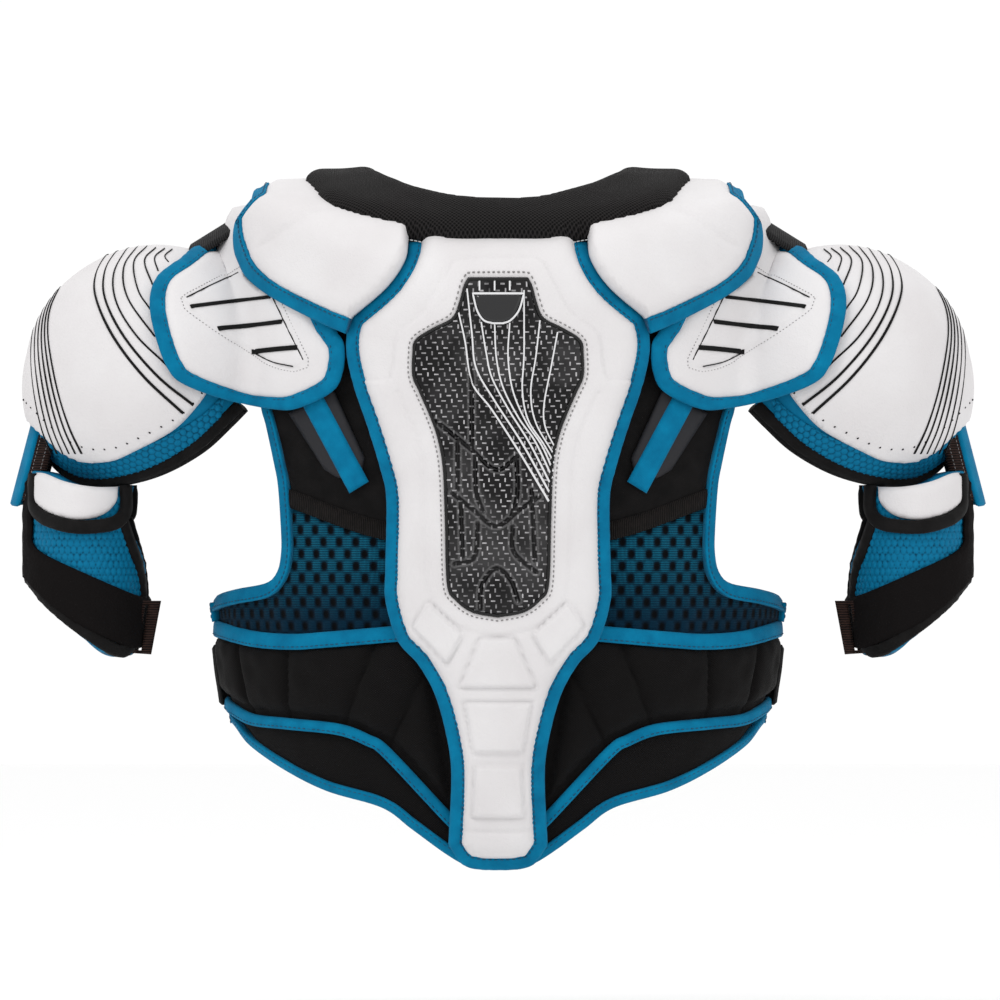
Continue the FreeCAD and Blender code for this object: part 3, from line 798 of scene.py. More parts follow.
WHITE = leather("white_leather", (0.68, 0.665, 0.67), (0.64, 0.62, 0.625))
BLUE = cloth("blue_tape", (0.001, 0.20, 0.37), (0.0, 0.10, 0.21), 0.9)
BLACK_TAPE = cloth("black_tape", (0.012, 0.011, 0.011), (0.003, 0.003, 0.003), 0.9)
CLOTH = cloth("black_cloth", (0.010, 0.009, 0.009), (0.002, 0.002, 0.002), 1.1, depth=0.0002)
WRAP = mesh_cloth("wrap_cloth", (0.009, 0.008, 0.008), (0.001, 0.001, 0.001), 1.7)
COLLAR = mesh_cloth("collar_mesh", (0.022, 0.020, 0.020), (0.002, 0.002, 0.002), 2.6, 0.0006)
FOAM = cells("blue_foam", (0.001, 0.165, 0.32), (0.0, 0.02, 0.05))
MESH = spacer("spacer_mesh")
CARBON = carbon("printed_plate")
INK = plain("black_print", (0.006, 0.006, 0.006), 0.5, 0.1)
INK_WHITE = plain("white_print", (0.72, 0.72, 0.73), 0.4)
THREAD_WHITE = plain("white_thread", (0.6, 0.6, 0.6), 0.7)
THREAD_GREY = plain("grey_thread", (0.26, 0.25, 0.25), 0.7)
THREAD_BLUE = plain("blue_thread", (0.001, 0.06, 0.13), 0.7)
THREAD_BLACK = plain("black_thread", (0.004, 0.004, 0.004), 0.7, 0.1)
PATCH = plain("rubber_patch", (0.020, 0.020, 0.023), 0.6, 0.2)
SEAM_BAND = ribbed("seam_band", (0.014, 0.011, 0.010), (0.002, 0.002, 0.002), 1.1)
VELOUR = plain("velour", (0.008, 0.007, 0.007), 0.95, 0.03, 0.0006, 700)
WEBBING = ribbed("webbing", (0.035, 0.018, 0.014), (0.003, 0.002, 0.002), 1.5, axis=1)
GREY_STRAP = ribbed("grey_strap", (0.028, 0.027, 0.028), (0.010, 0.010, 0.010), 1.3)
GLOSS = plain("gloss_badge", (0.006, 0.006, 0.007), 0.12, 0.5)
RIM = plain("gloss_rim", (0.004, 0.004, 0.004), 0.25, 0.3)


def set_cells(obj, height):
    """Give a material how high each point is in its cell or crease, from which it paints shade in the
    low parts, and on the printed plate a highlight beside each crease; None means all on top.
    """
    layer = obj.data.attributes["pat"].data
    values = np.empty(len(layer) * 3, np.float32)
    layer.foreach_get("vector", values)
    values = values.reshape(-1, 3)
    values[:, 2] = 1.0 if height is None else CELL_RISE * height(values[:, :2].astype(float))
    layer.foreach_set("vector", values.ravel())


def keep(obj, body, slot, *nodes, fill_=None):
    """Attach a piece to what it rides on and hide the CAD nodes it stands for; its finish, slot, is not
    used.
    """
    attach(obj, body)
    if nodes:
        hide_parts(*nodes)


def keep_pair(obj, stem, body, slot, *nodes, fill_=None):
    """Attach a left piece and its mirror image and hide their CAD nodes; {} in names becomes the side.
    """
    other = mirror(obj, stem + "_right")
    obj.name = stem + "_left"
    for piece, side in ((obj, "left"), (other, "right")):
        keep(piece, body.format(side), slot, *[n.format(side) for n in nodes], fill_=fill_)


def edging(stem, row_stem, form, path, section, height, body, *nodes, base=0.0, inward=IN_TAPE):
    """Blue tape along a path with its row of stitches, on both sides of the pads."""
    tape = sweep(stem, form, path, section, BLUE, base=base, pucker=0.35)
    keep_pair(tape, stem, body, "blue_tape", *nodes)
    row = stitches(row_stem, form, offset(path, inward), height, THREAD_BLUE, base=base)
    keep_pair(row, row_stem, body, "blue_tape")


# ================================================================ outlines, seen from behind

YOKE_EDGE = [(-149, 27), (-157, 17), (-161, 8), (-161, -4), (-158, -13), (-152, -23), (-136, -35),
             (-107, -50), (-92, -56.5)]
YOKE_INNER = [(-88.6, -47), (-67.6, -29), (-56.4, -12), (-54.5, 2)]
SPINE_TOP = [(-54, 2), (-56, -11), (-67, -28), (-88, -46)]
SPINE_SIDE = [(-88, -46), (-91, -56), (-91, -70), (-86.4, -89.5), (-78.6, -112), (-70.8, -137.5),
              (-67.2, -156), (-67.8, -197), (-67.8, -216), (-60.6, -240), (-48, -254.5),
              (-37.8, -273), (-30.6, -299.5), (-28.2, -322), (-30, -363)]
SPINE_FOOT = [(-30, -363), (-20, -375.5), (0, -378), (20, -375.5), (30, -363)]
INSERT_HALF = [(-17.5, -24.5), (-19.8, -29.5), (-22.2, -38.5), (-26.5, -48), (-38.5, -54.5),
               (-48.5, -61), (-50, -68.5), (-50, -82), (-46.2, -91), (-39.6, -106), (-34.8, -120),
               (-31.8, -137.5), (-30.6, -168), (-29.4, -206), (-24.6, -215), (-15, -222), (0, -225)]
ARMHOLE = [(-146, -72), (-142, -100), (-139, -111), (-134, -134), (-131.5, -148), (-129.7, -175),
           (-129.7, -188), (-132, -199), (-139, -206), (-158, -210), (-170, -214), (-174, -221),
           (-174.5, -230)]
WRAP_TOP = [(-175, -229), (-149, -235), (-125, -236.5), (-103, -235), (-63, -231.5), (-40, -230)]
WRAP_LOW = [(-168, -276), (-162, -280), (-149.5, -285.5), (-128, -287.5), (-96, -290.5),
            (-77.5, -297), (-65, -305), (-29.5, -342.5), (-20, -352)]
TAIL_LOW = [(-168, -291), (-160, -294), (-149.5, -306), (-128, -320), (-102.5, -332),
            (-69.5, -341.5), (-52, -354), (-33, -368), (-20.5, -375.5), (-12, -377)]
WING_EDGE = [(-176, -1), (-184, -2), (-192, -9.5), (-203.5, -18.5), (-208.5, -28),
             (-209, -41.5), (-205, -59), (-198.5, -76), (-189.5, -86), (-165, -95.5),
             (-136, -101.5), (-120.5, -101), (-99.5, -91), (-93, -78), (-92.5, -63)]
CAP_FOOT = [(-292, -104), (-284, -111.5), (-277.5, -117.5), (-264.5, -128.5), (-251, -134.5),
            (-236, -134.5), (-222, -129.5), (-194, -114.5), (-176.5, -95.5), (-170, -82)]
LINER_FOOT = [(-292, -110), (-283, -117.5), (-275, -127), (-264, -136.5), (-249, -143),
              (-230, -142.5), (-207, -136), (-184, -123), (-167, -107.5), (-157.5, -98)]
CAP_CREST = [(-168, -60), (-170, -35), (-180, -12), (-186, 6)]


# ================================================================ spine panel

def groove(d, width, depth):
    return -depth * np.exp(-(d / width) ** 2)


SPINE_STEP = [(-76.8, -84.3), (-64.8, -82.8), (-61, -59.7), (-57.8, -54.6), (-47.8, -47), (-42, -41.4),
              (-30, -19.2), (-26.4, -13), (-17.4, -11), (0, -11)]
SPINE_BLOCKS = [[(-41.4, -216.6), (-20.6, -236), (-30.4, -254.4), (-52, -231.6)],
                [(41.4, -216.6), (20.6, -236), (30.4, -254.4), (52, -231.6)],
                [(-10.8, -238), (10, -238), (22.8, -268), (-23, -268)],
                [(-20.6, -276.5), (20.2, -276.5), (15, -307), (-15, -307)],
                [(-14.4, -314.4), (14.2, -314.4), (16, -346), (-16, -346)]]


def spine():
    side = np.vstack([curve(SPINE_TOP)[:-1], curve(SPINE_SIDE)])
    edge = trace(BACK, np.vstack([side, curve(SPINE_FOOT)[1:-1], side[::-1] * [-1, 1]]), 7.5)
    ahead = (edge[0] - edge[3]) / np.linalg.norm(edge[0] - edge[3]) * 8
    edge = resample(np.vstack([[edge[0] + ahead], edge, [edge[-1] + ahead * [-1, 1]]]), 2.0)
    insert = trace(BACK, ring(INSERT_HALF, flip(INSERT_HALF), step=2.5), 18)
    blocks = [trace(BACK, ring(*zip(block, block[1:] + block[:1])), 18) for block in SPINE_BLOCKS]
    step = curve(SPINE_STEP)
    step = trace(BACK, mirrored(step), 17)
    upper = np.vstack([step, [(100, step[0, 1]), (100, 60), (-100, 60), (-100, step[0, 1])]])

    def height(uv, d):
        d = distance(uv, edge, closed=False)
        within, around = inside(uv, insert), distance(uv, insert)
        h = 7.0 + 11.0 * rise(d - 7.9, 12, 2.3) - 1.2 * within
        h += np.where(within, 0, groove(around, 1.6, 1.4))
        h += np.where(within | (uv[:, 1] > -92), 0, groove(around - 12, 1.3, 0.8))
        for block in blocks:
            b = distance(uv, block)
            h += np.where(inside(uv, block), 2.3 * rise(b, 1.9), 0) + groove(b, 1.1, 1.2)
        s = distance(uv, step, closed=False)
        h += np.where(inside(uv, upper), -1.8, 0) * rise(s, 1.8) + groove(s, 1.0, 0.9)
        h += groove(np.abs(uv[:, 1] + 351), 1.1, 0.9) * (np.abs(uv[:, 0]) < 21)
        return h + 0.25 * wobble(uv[:, 0], uv[:, 1], 60, 3)

    body = panel("spine_panel_foam", BACK, offset(edge, 2.0), height, 0.3, WHITE, 1.5)
    keep(body, "back", "white_cover", "spine_panel", fill_=0.85)
    rim = sweep("spine_panel_tape", BACK, edge, tape_section(TAPE, 5.5, 3.2, 9.2), BLUE, pucker=0.35)
    keep(rim, "back", "blue_tape", "spine_binding")
    keep(stitches("spine_tape_stitches", BACK, offset(edge, IN_TAPE), 10.0, THREAD_BLUE), "back",
         "blue_tape")
    row = offset(insert, 3.0 if area2d(insert) < 0 else -3.0, closed=True)
    row = shut(row)
    keep(stitches("insert_stitches", BACK, row, height(row, 0) + 0.3, THREAD_GREY, 2.9, 1.6, 0.42),
         "back", "white_cover")


INSERT_FOLDS = [[(-15.6, -84), (-15.6, -126)], [(-37, -109), (-17, -125), (-1.2, -138), (11.4, -130)],
                [(-27, -152), (-14.4, -162), (-1.2, -171.6), (12.6, -162), (24.6, -154)],
                [(-25.8, -194), (-14, -190), (-12, -170)], [(8.7, -172), (9.5, -187), (22.8, -199)],
                [(-10.5, -221), (-9.6, -207), (-1.2, -196.5), (7.8, -204), (12, -216)],
                [(11, -131), (11.5, -152), (8, -166)], [(-13.5, -130), (-13, -150), (-9, -163)],
                [(-24, -122), (-24, -150)], [(20, -150), (22, -192)], [(-22, -158), (-21, -190)],
                [(-17, -60), (-16.5, -74), (-15.6, -84)]]
INSERT_LINES = [[(-24, -42), (-19.5, -62), (-15.5, -86), (-3.5, -102.5), (13, -128), (31, -158)],
                [(-18.5, -30), (-15.5, -57), (-13, -77.5), (-2, -97), (14.5, -122.5), (31.5, -153)],
                [(-10, -50), (-7, -68.5), (-3.5, -83.5), (6.5, -102.5), (19, -122.5), (32, -148)],
                [(-2, -51), (-1, -71), (3, -89), (12.5, -107.5), (22, -121), (32.5, -143)],
                [(7, -50.5), (6, -71), (9, -91.5), (17, -110), (26, -123.5), (33, -139)],
                [(15.5, -31), (15.5, -68.5), (14.5, -91), (18, -108.5), (27, -122.5), (33.5, -134)],
                [(25, -49), (22.5, -71), (19.5, -91.5), (22.5, -110), (34, -130)],
                [(35.5, -56), (31.5, -77.5), (27.5, -98.5), (28, -112), (34.5, -126)]]


def spine_insert():
    outline = trace(BACK, ring(INSERT_HALF, flip(INSERT_HALF), step=2.0), 18)
    folds = [trace(BACK, curve(fold), 18.5) for fold in INSERT_FOLDS]

    def height(uv, d):
        fold = np.min([distance(uv, f, closed=False) for f in folds], axis=0)
        ridge = groove(fold, 0.9, 1.5) - groove(fold - 2.3, 1.2, 1.0)
        return 16.8 + 2.4 * rise(d, 2.2) + ridge * rise(d, 4)

    # Painted shade and highlight: near 0 along each fold, where the plate is painted near black, and a
    # peak 1.9 mm beside it, where a grey highlight is painted.
    def crease(uv):
        fold = np.min([distance(uv, f, closed=False) for f in folds], axis=0)
        return (1 - np.exp(-(fold / 0.75) ** 2) + np.exp(-((fold - 1.9) / 0.6) ** 2)) / 1.3

    plate = panel("spine_insert_plate", BACK, outline, height, 15.0, CARBON, 1.0)
    set_cells(plate, crease)
    keep(plate, "back", "gloss_insert", "spine_insert")
    strips = []
    for k, line in enumerate(INSERT_LINES):
        path = trace(BACK, curve(line, 1.5), 19.5)
        widths = np.linspace(0.8, max(1.25 - 0.07 * k, 0.8), len(path))
        top = height(path, distance(path, outline)) + 0.35
        strips.append(ribbon("line", BACK, path, widths, top - 1, top, INK_WHITE))
    keep(join("insert_lines", strips), "back", "gloss_insert")
    rim = sweep("insert_rim", BACK, outline if area2d(outline) > 0 else outline[::-1],
                [(-0.9, 15.5), (-1.1, 17.6), (-0.4, 19.0), (0.6, 19.0), (1.4, 17.6)], RIM, closed=True)
    keep(rim, "back", "gloss_insert")
    ticks = [ribbon("tick", BACK, trace(BACK, curve([(x, -25.6), (x, -31.3)], 1.5), 19), 0.9, 18.6,
                    19.6, INK_WHITE) for x in (-11, -2, 7)]
    keep(join("insert_ticks", ticks), "back", "gloss_insert")
    badge = trace(BACK, ring([(-15, -33), (-12.5, -43), (-8.5, -49), (-3, -50.8)],
                             [(3, -50.8), (7.5, -49), (12.5, -43), (15.5, -33)], step=1.5), 20)
    keep(panel("insert_badge_plate", BACK, badge, lambda uv, d: 19.2 + 1.4 * rise(d, 1.6), 18, GLOSS,
               1.5), "back", "gloss_insert", "insert_badge")
    keep(ribbon("badge_outline", BACK, badge, 1.0, 19.0, 20.2, INK_WHITE, closed=True),
         "back", "gloss_insert")


spine()
spine_insert()


# ================================================================ yokes

def yoke():
    """Arches over the shoulder; the front half repeats the back half."""
    edge = trace(OVER, curve(YOKE_EDGE), -2, YOKE_UP)
    edge = edge[edge[:, 1] > 18]
    edge = resample(np.vstack([[(edge[0, 0] + 1, 0)], edge]), 2.0)
    inner = trace(OVER, curve(YOKE_INNER, 3) + [1, 0], -5, YOKE_UP)
    near = collar_edge()[:-1] * 0.9
    half = np.vstack([offset(edge, -2.0), inner, near[near[:, 0] < -50][::-1]])
    outline = np.vstack([half, (half[::-1] * [1, -1])[1:-1]])
    outline = even(outline, 2.2)
    crease = trace(OVER, [(-143, -4), (-125, 7), (-107, 18)], 2, YOKE_UP)

    def height(uv, d):
        there = np.column_stack([uv[:, 0], np.abs(uv[:, 1])])
        s, e, i = (distance(there, line, closed=False) for line in (crease, edge, inner))
        slope = np.clip((-134 - uv[:, 0]) / 20, 0, 1) * np.exp(-(uv[:, 1] / 25) ** 2)
        pad = np.minimum(-3 + 6.4 * rise(e - 7.9, 9), -4.5 + 7.9 * rise(i, 5))
        return -5 * slope + pad + groove(s, 1.8, 1.2) + 0.3 * wobble(uv[:, 0], uv[:, 1], 50, 5)

    white = panel("yoke", OVER, outline, height, -6.5, WHITE, 2.2, base=YOKE_UP)
    both = np.vstack([edge[::-1], (edge * [1, -1])[1:]])
    tape = sweep("yoke_tape", OVER, both, tape_section(TAPE, -4.4, 2.6, 0.4), BLUE, base=YOKE_UP,
                 pucker=0.35)
    row = stitches("yoke_stitches", OVER, offset(both, IN_TAPE), 1.15, THREAD_BLUE, base=YOKE_UP)
    return white, tape, row


def collar_plan(half_width, half_depth, corner, step=3.0):
    """Rounded rectangle seen from above."""
    cx, cy = half_width - corner, half_depth - corner
    out = []
    for sx, sy, first in ((1, 1, 0), (-1, 1, 1), (-1, -1, 2), (1, -1, 3)):
        t = np.linspace(first, first + 1, 30) * math.pi / 2
        out.append(np.column_stack([sx * cx + corner * np.cos(t), sy * cy + corner * np.sin(t)]))
    p = np.vstack(out + [out[0][:1]])
    return resample(p, step)[:-1]


COLLAR_LOW = [(-118.5, 35), (-110.5, 25.5), (-92, 15), (-66, 8.5), (-50, 6), (-30, 2), (0, 1)]


def collar_edge():
    return trace(OVER, curve(COLLAR_LOW, 3), 11, COLLAR_UP)


white, tape, row = yoke()
made_yoke = [(white, "yoke_cover", "white_cover", ["yoke_back_{}", "yoke_front_{}"], 0.8),
             (tape, "yoke_tape", "blue_tape", ["yoke_binding_{}"], None),
             (row, "yoke_stitches", "blue_tape", [], None)]


def over_hinge(obj, slot, nodes, fill_=None):
    """Cloth that crosses the shoulder hinge."""
    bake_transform(obj)
    if nodes:
        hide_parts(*nodes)


for obj, stem, slot, nodes, fill_ in made_yoke:
    right = mirror(obj, stem + "_right")
    obj.name = stem + "_left"
    for piece, side in ((obj, "left"), (right, "right")):
        over_hinge(piece, slot, [n.format(side) for n in nodes], fill_)


# ================================================================ neck collar

def collar():
    """One roll round the neck, back and front."""
    low = collar_edge()
    half = mirrored(low)
    outline = np.vstack([half, (half * [1, -1])[::-1]])
    outline = even(outline, 3)
    neck = OVER.plan(collar_plan(72, 74, 68), COLLAR_UP)

    def height(uv, d):
        near = rise(distance(uv, neck), 26)
        standing = 7.0 * (1 - near) * np.exp(-(uv[:, 0] / 62) ** 2) + 3.0 * (1 - near)
        return 5 + 13 * rise(d, 13, 2.3) + standing + 0.35 * wobble(uv[:, 0], uv[:, 1], 34, 8)

    ring_ = panel("neck_collar", OVER, outline, height, 1.0, COLLAR, 2.6, base=COLLAR_UP,
                  holes=(neck,))
    seam = offset(shut(outline), 1.2)
    row = stitches("collar_stitches", OVER, seam, 3.4, THREAD_WHITE, 2.6, 2.1, 0.45, base=COLLAR_UP)
    over_hinge(ring_, "collar_mesh", ["neck_collar_back", "neck_collar_front"], 0.9)
    over_hinge(row, "collar_mesh", [])


collar()


# ================================================================ liner, mesh, wrap and tail

SPLIT = [(-130, -158), (-121, -161.4), (-68, -179), (0, -186)]
SEAMS = [[(-159.6, -240), (-150.6, -288)], [(-127.8, -240), (-127.8, -290)],
         [(-72, -236), (-94.5, -293)], [(-44, -258), (-67.5, -307)]]


def back_cloth():
    split = curve(SPLIT, 3)
    both = mirrored(split)
    edge = curve([(-137, -14), (-137, -75), (-137, -111), (-129, -134), (-125, -152)], 3)
    upper = np.vstack([edge, both[2:-2], (edge * [-1, 1])[::-1]])
    cloth_ = panel("back_liner_cloth", BACK, resample(upper, 3),
                   lambda uv, d: -2.6 + 0.9 * wobble(uv[:, 0], uv[:, 1], 45, 2), -6, CLOTH, 3.5)
    keep(cloth_, "back", "black_cloth", "back_liner", fill_=0.5)
    band = np.vstack([both + [0, 10], (both - [0, 1.0])[::-1]])
    keep(panel("split_band", BACK, even(band, 2.5),
               lambda uv, d: -1.4 + 0.9 * rise(d, 1.5) + 0.5 * wobble(uv[:, 0], uv[:, 1], 30, 8), -4,
               SEAM_BAND, 2.5), "back", "black_cloth")

    armhole = curve(ARMHOLE, 3)
    side = offset(armhole, 3)
    side = side[side[:, 1] < -156]
    low = curve(WRAP_TOP, 3)
    half = np.vstack([both[:len(split)][::-1], [side[0]], side, low - [0, 3]])
    lower = mirrored(half, 0)
    lower = ROUND.flat(lower, -3)
    lower = even(lower, 3)
    net = panel("back_mesh_net", ROUND, lower,
                lambda uv, d: -3.0 + 1.0 * wobble(uv[:, 0], uv[:, 1], 60, 4), -6.5, MESH, 3)
    keep(net, "back", "blue_mesh", "back_mesh", fill_=0.5)

    path = ROUND.flat(armhole, -3)
    edging("armhole_tape", "armhole_stitches", ROUND, path, tape_section(TAPE, -3.2, 2.4, 0.4), 1.2,
           "back", "armhole_binding_{}")


def wrap():
    top, low = curve(WRAP_TOP), curve(WRAP_LOW)
    outline = ROUND.flat(np.vstack([top - [0, 2], low[::-1] - [0, 3]]))
    outline = even(outline, 2.5)
    seams = [ROUND.flat(resample(np.array(seam, float), 2)) for seam in SEAMS]

    def height(uv, d):
        s = np.min([distance(uv, seam, closed=False) for seam in seams], axis=0)
        puff = 1 - np.exp(-s / 4.5)
        return -4.5 + 6.2 * rise(d - 7, 10) * (0.4 + 0.6 * puff) + groove(s, 1.0, 1.3) \
            + 0.4 * wobble(uv[:, 0], uv[:, 1], 22, 6)

    body = panel("body_wrap", ROUND, outline, height, -9, WRAP, 2.2)
    keep_pair(body, "body_wrap_pad", "back", "black_cloth", "body_wrap_{}", fill_=0.7)
    for name, line, level, wide in (("wrap_top_tape", top, 0.2, 9.4),
                                    ("wrap_low_tape", low, -0.4, 6.6)):
        edging(name, name + "_stitches", ROUND, ROUND.flat(line[::-1], level),
               tape_section(wide, level - 2.4, 2.6, level), level + 0.8, "back", inward=wide - 1.7)


def tail():
    low, high = curve(TAIL_LOW), curve(WRAP_LOW)
    outline = ROUND.flat(np.vstack([high - [0, 4], low[::-1] + [0, 2]]))
    outline = even(outline, 2.5)
    body = panel("tail", ROUND, outline, lambda uv, d: -7 + 3.6 * rise(d, 9)
                 + 0.3 * wobble(uv[:, 0], uv[:, 1], 30, 7), -9, WRAP, 2.5)
    keep_pair(body, "tail_pad", "back", "black_cloth", "tail_panel_{}", fill_=0.6)
    edging("tail_tape", "tail_stitches", ROUND, ROUND.flat(low, -3),
           tape_section(6.9, -4.6, 2.6, -2.4), -1.7, "back", "tail_binding_{}", inward=5.2)


def anchors():
    patch = ring([(-126, -104), (-100, -88)], [(-80, -131), (-83, -139), (-94, -143), (-104, -138)],
                 step=1.5)
    keep_pair(panel("patch", BACK, patch, lambda uv, d: -0.2 + 1.2 * rise(d, 1.5), -2, PATCH, 2.0),
              "anchor_patch_velour", "back", "black_cloth", "anchor_patch_{}")
    strap = ring([(-118.5, -96), (-106.5, -90)], [(-77, -145), (-88.5, -152)], step=1.5)
    keep_pair(panel("strap", BACK, strap, lambda uv, d: 1.1 + 1.4 * rise(d, 1.2)
                    + 0.12 * wobble(uv[:, 0], uv[:, 1], 9, 4), 0.6, BLUE, 1.5),
              "anchor_strap_band", "back", "blue_tape", "anchor_strap_{}")


back_cloth()
wrap()
tail()
anchors()


# ================================================================ wings

BARS = [[(-184.5, -39.8), (-160, -36.5), (-136.5, -34)], [(-168, -53), (-148, -51), (-129.5, -49)],
        [(-148, -67), (-134, -65.6), (-120.5, -64.6)]]
TRIANGLE = [[(-187, -35), (-157, -18.6)], [(-135.8, -34), (-115.8, -74.4)],
            [(-122.5, -76.5), (-132, -74.5), (-142, -69.5), (-167, -53.5), (-185, -40.5)]]
THIN_LINES = [[(-187, -34), (-172, -26), (-157, -18.6)], [(-135.8, -34), (-126, -54), (-117, -72)],
              [(-148, -67), (-136, -73), (-123, -76)]]


def wing():
    edge = trace(WING, curve([*WING_EDGE, (-97, -55), (-102.5, -46), (-106, -36)]), 4.0, WING_UP)
    edge = resample(np.vstack([[(-174, 8)], edge[edge[:, 1] > 12]]), 2.0)[::-1]
    top = WING.flat(curve([(-150, -22), (-137, -30), (-110, -36)], 2), WING_UP)
    top = np.vstack([[(-168, 7), (-158, 7), (-150, 9)], top])
    outline = np.vstack([offset(edge, 2.0)[2:], top])
    outline = even(outline, 2.2)
    triangle = np.vstack([trace(WING, curve(run), 5.5, WING_UP) for run in TRIANGLE])

    def height(uv, d):
        s = distance(uv, triangle)
        within = np.where(inside(uv, triangle), 0.5 * rise(s, 2), 0)
        edge_d = distance(uv, edge, closed=False)
        tuck = np.clip((uv[:, 0] + 167) / 9, 0, 1) * np.exp(-(uv[:, 1] / 30) ** 2)
        return 1.6 - 6 * tuck + 3.8 * rise(edge_d - 7.9, 7) + within + groove(s, 0.9, 0.45) \
            + 0.2 * wobble(uv[:, 0], uv[:, 1], 40, 9)

    body = panel("wing", WING, outline, height, 0.0, WHITE, 2.0, base=WING_UP)
    keep_pair(body, "wing_cover", "wing_{}", "white_cover", "wing_panel_{}", fill_=0.8)
    edging("wing_tape", "wing_stitches", WING, edge, tape_section(TAPE, 2.4, 2.3, 3.6), 4.45,
           "wing_{}", "wing_binding_{}", base=WING_UP)
    bars = []
    runs = [(line, width, 0.6) for line, width in zip(BARS, (2.3, 2.7, 2.9))]
    runs += [(line, 0.7, 0.5) for line in THIN_LINES]
    for line, width, up in runs:
        path = trace(WING, curve(line, 1.5), 5.8, WING_UP)
        top = height(path, distance(path, outline)) + up
        bars.append(ribbon("bar", WING, path, width, top - 1, top, INK, base=WING_UP))
    keep_pair(join("wing_bars", bars), "wing_bars", "wing_{}", "white_cover", "wing_insert_{}")
    out = triangle if area2d(triangle) > 0 else triangle[::-1]
    row = offset(out, -3.2, closed=True)
    keep_pair(stitches("triangle_row", WING, shut(row), 5.5, THREAD_GREY, 2.2,
                       1.0, 0.3, base=WING_UP), "wing_triangle_stitches", "wing_{}", "white_cover")


wing()


# ================================================================ shoulder caps

def on_ball(run, off, step=2.0):
    """The part of a run seen from behind that lies on the ball, in the ball's coordinates."""
    p = curve(run, step)
    d = p - [CAP_X, CAP_Z]
    unit = np.column_stack([d[:, 0], 0 * d[:, 0], d[:, 1]]) / np.linalg.norm(d, axis=1)[:, None]
    on = np.hypot(d[:, 0], d[:, 1]) < DOME.radius(unit, off)
    on = on | np.r_[on[1:], False] | np.r_[False, on[:-1]]
    return DOME.flat(p[on], off)


def cap_ring(foot, crest, off):
    """Outline on the ball: down the back along the crest, along the foot, and round the front."""
    back = np.vstack([on_ball(crest[::-1], off), on_ball(foot[::-1], off)])
    return even(mirrored(back, 0), 2.2)


LINER_DOWN = -4.4      # height of the foam liner's face over the ball


def cap():
    shell = panel("cap", DOME, cap_ring(CAP_FOOT, CAP_CREST, 0),
                  lambda uv, d: -2.2 + 2.2 * rise(d, 2.4) + 0.25 * wobble(uv[:, 0], uv[:, 1], 55, 3),
                  -4, WHITE, 2.6)
    keep_pair(shell, "cap_cover", "cap_{}", "white_cover", "cap_shell_{}", fill_=0.9)
    foam = panel("foam", DOME, cap_ring(LINER_FOOT, [(-160, -80)] + CAP_CREST, LINER_DOWN),
                 LINER_DOWN, -12.9, FOAM, 3.2)
    set_cells(foam, None)
    keep_pair(foam, "cap_foam", "cap_{}", "blue_foam", "cap_liner_{}", fill_=0.9)
    low = np.array(LINER_FOOT[:-1], float)
    band = np.vstack([on_ball(low, LINER_DOWN, 1.5),
                      on_ball(low + [4.0, 17.0], LINER_DOWN, 1.5)[::-1]])
    band = even(band, 1.1)
    foot = on_ball(LINER_FOOT, LINER_DOWN, 1.5)
    on_cap = lambda uv: cell_height(np.column_stack(along(DOME, uv, foot)), 4.8)
    cells_ = panel("hexes", DOME, band, lambda uv, d: -4.1 + 1.3 * on_cap(uv), -6.5, FOAM, 0.95)
    set_cells(cells_, on_cap)
    keep_pair(cells_, "cap_foam_cells", "cap_{}", "blue_foam")
    hem = on_ball(LINER_FOOT, LINER_DOWN)
    both = resample(np.vstack([hem[::-1], hem * [-1, 1]]), 2.2)
    if signed_side(both) < 0:
        both = both[::-1]
    both = offset(both, -6.5)
    section = [(8.4, -12.8), (8.8, -4.0), (7.8, -2.0), (5.2, -0.8), (2.2, -1.0), (0.3, -3.0), (-0.3, -7),
               (0.3, -11.5), (2.5, -13.4)]
    tape = sweep("cap_tape", DOME, both, section, BLACK_TAPE, pucker=0.25)
    keep_pair(tape, "cap_tape", "cap_{}", "black_tape", "cap_binding_{}")


def cell_height(uv, pitch=5.0):
    """Foam cells: 0 in the gaps to 1 on top."""
    return rise(hexagons(uv[:, 0], uv[:, 1], pitch), 2.1)


def signed_side(path):
    """Positive when the pole lies to the left of the path."""
    n = normals2d(path)
    return -(path * n).sum()


cap()


# Printed lines, seen from behind, each from the top of the cap downwards.
CAP_PRINT = [
    [(-236, -3), (-243, -20), (-242, -35), (-231, -58), (-212.5, -82), (-189, -104)],
    [(-230.5, -2.5), (-237.5, -18), (-236.5, -35), (-224.5, -58), (-204, -82), (-183, -99)],
    [(-224.5, -2), (-232, -20), (-229, -38.5), (-216.5, -58), (-199, -75), (-193, -83)],
    [(-218.5, -1.5), (-226, -16), (-222.5, -35), (-206, -58)],
    [(-213, -2), (-220, -12.5), (-216.5, -30), (-209, -41.5)],
    [(-207.5, -3), (-213.5, -11.5), (-208, -26.5)],
    [(-202, -3.5), (-207.5, -9.5), (-205, -18)],
    [(-197.5, -4), (-201.5, -8.5), (-199, -12.5)]]
SIDE_PRINT = [(-266, -26.5), (-271, -39.5), (-272, -53), (-269.5, -71), (-264.5, -93), (-258, -113),
              (-251, -128)]


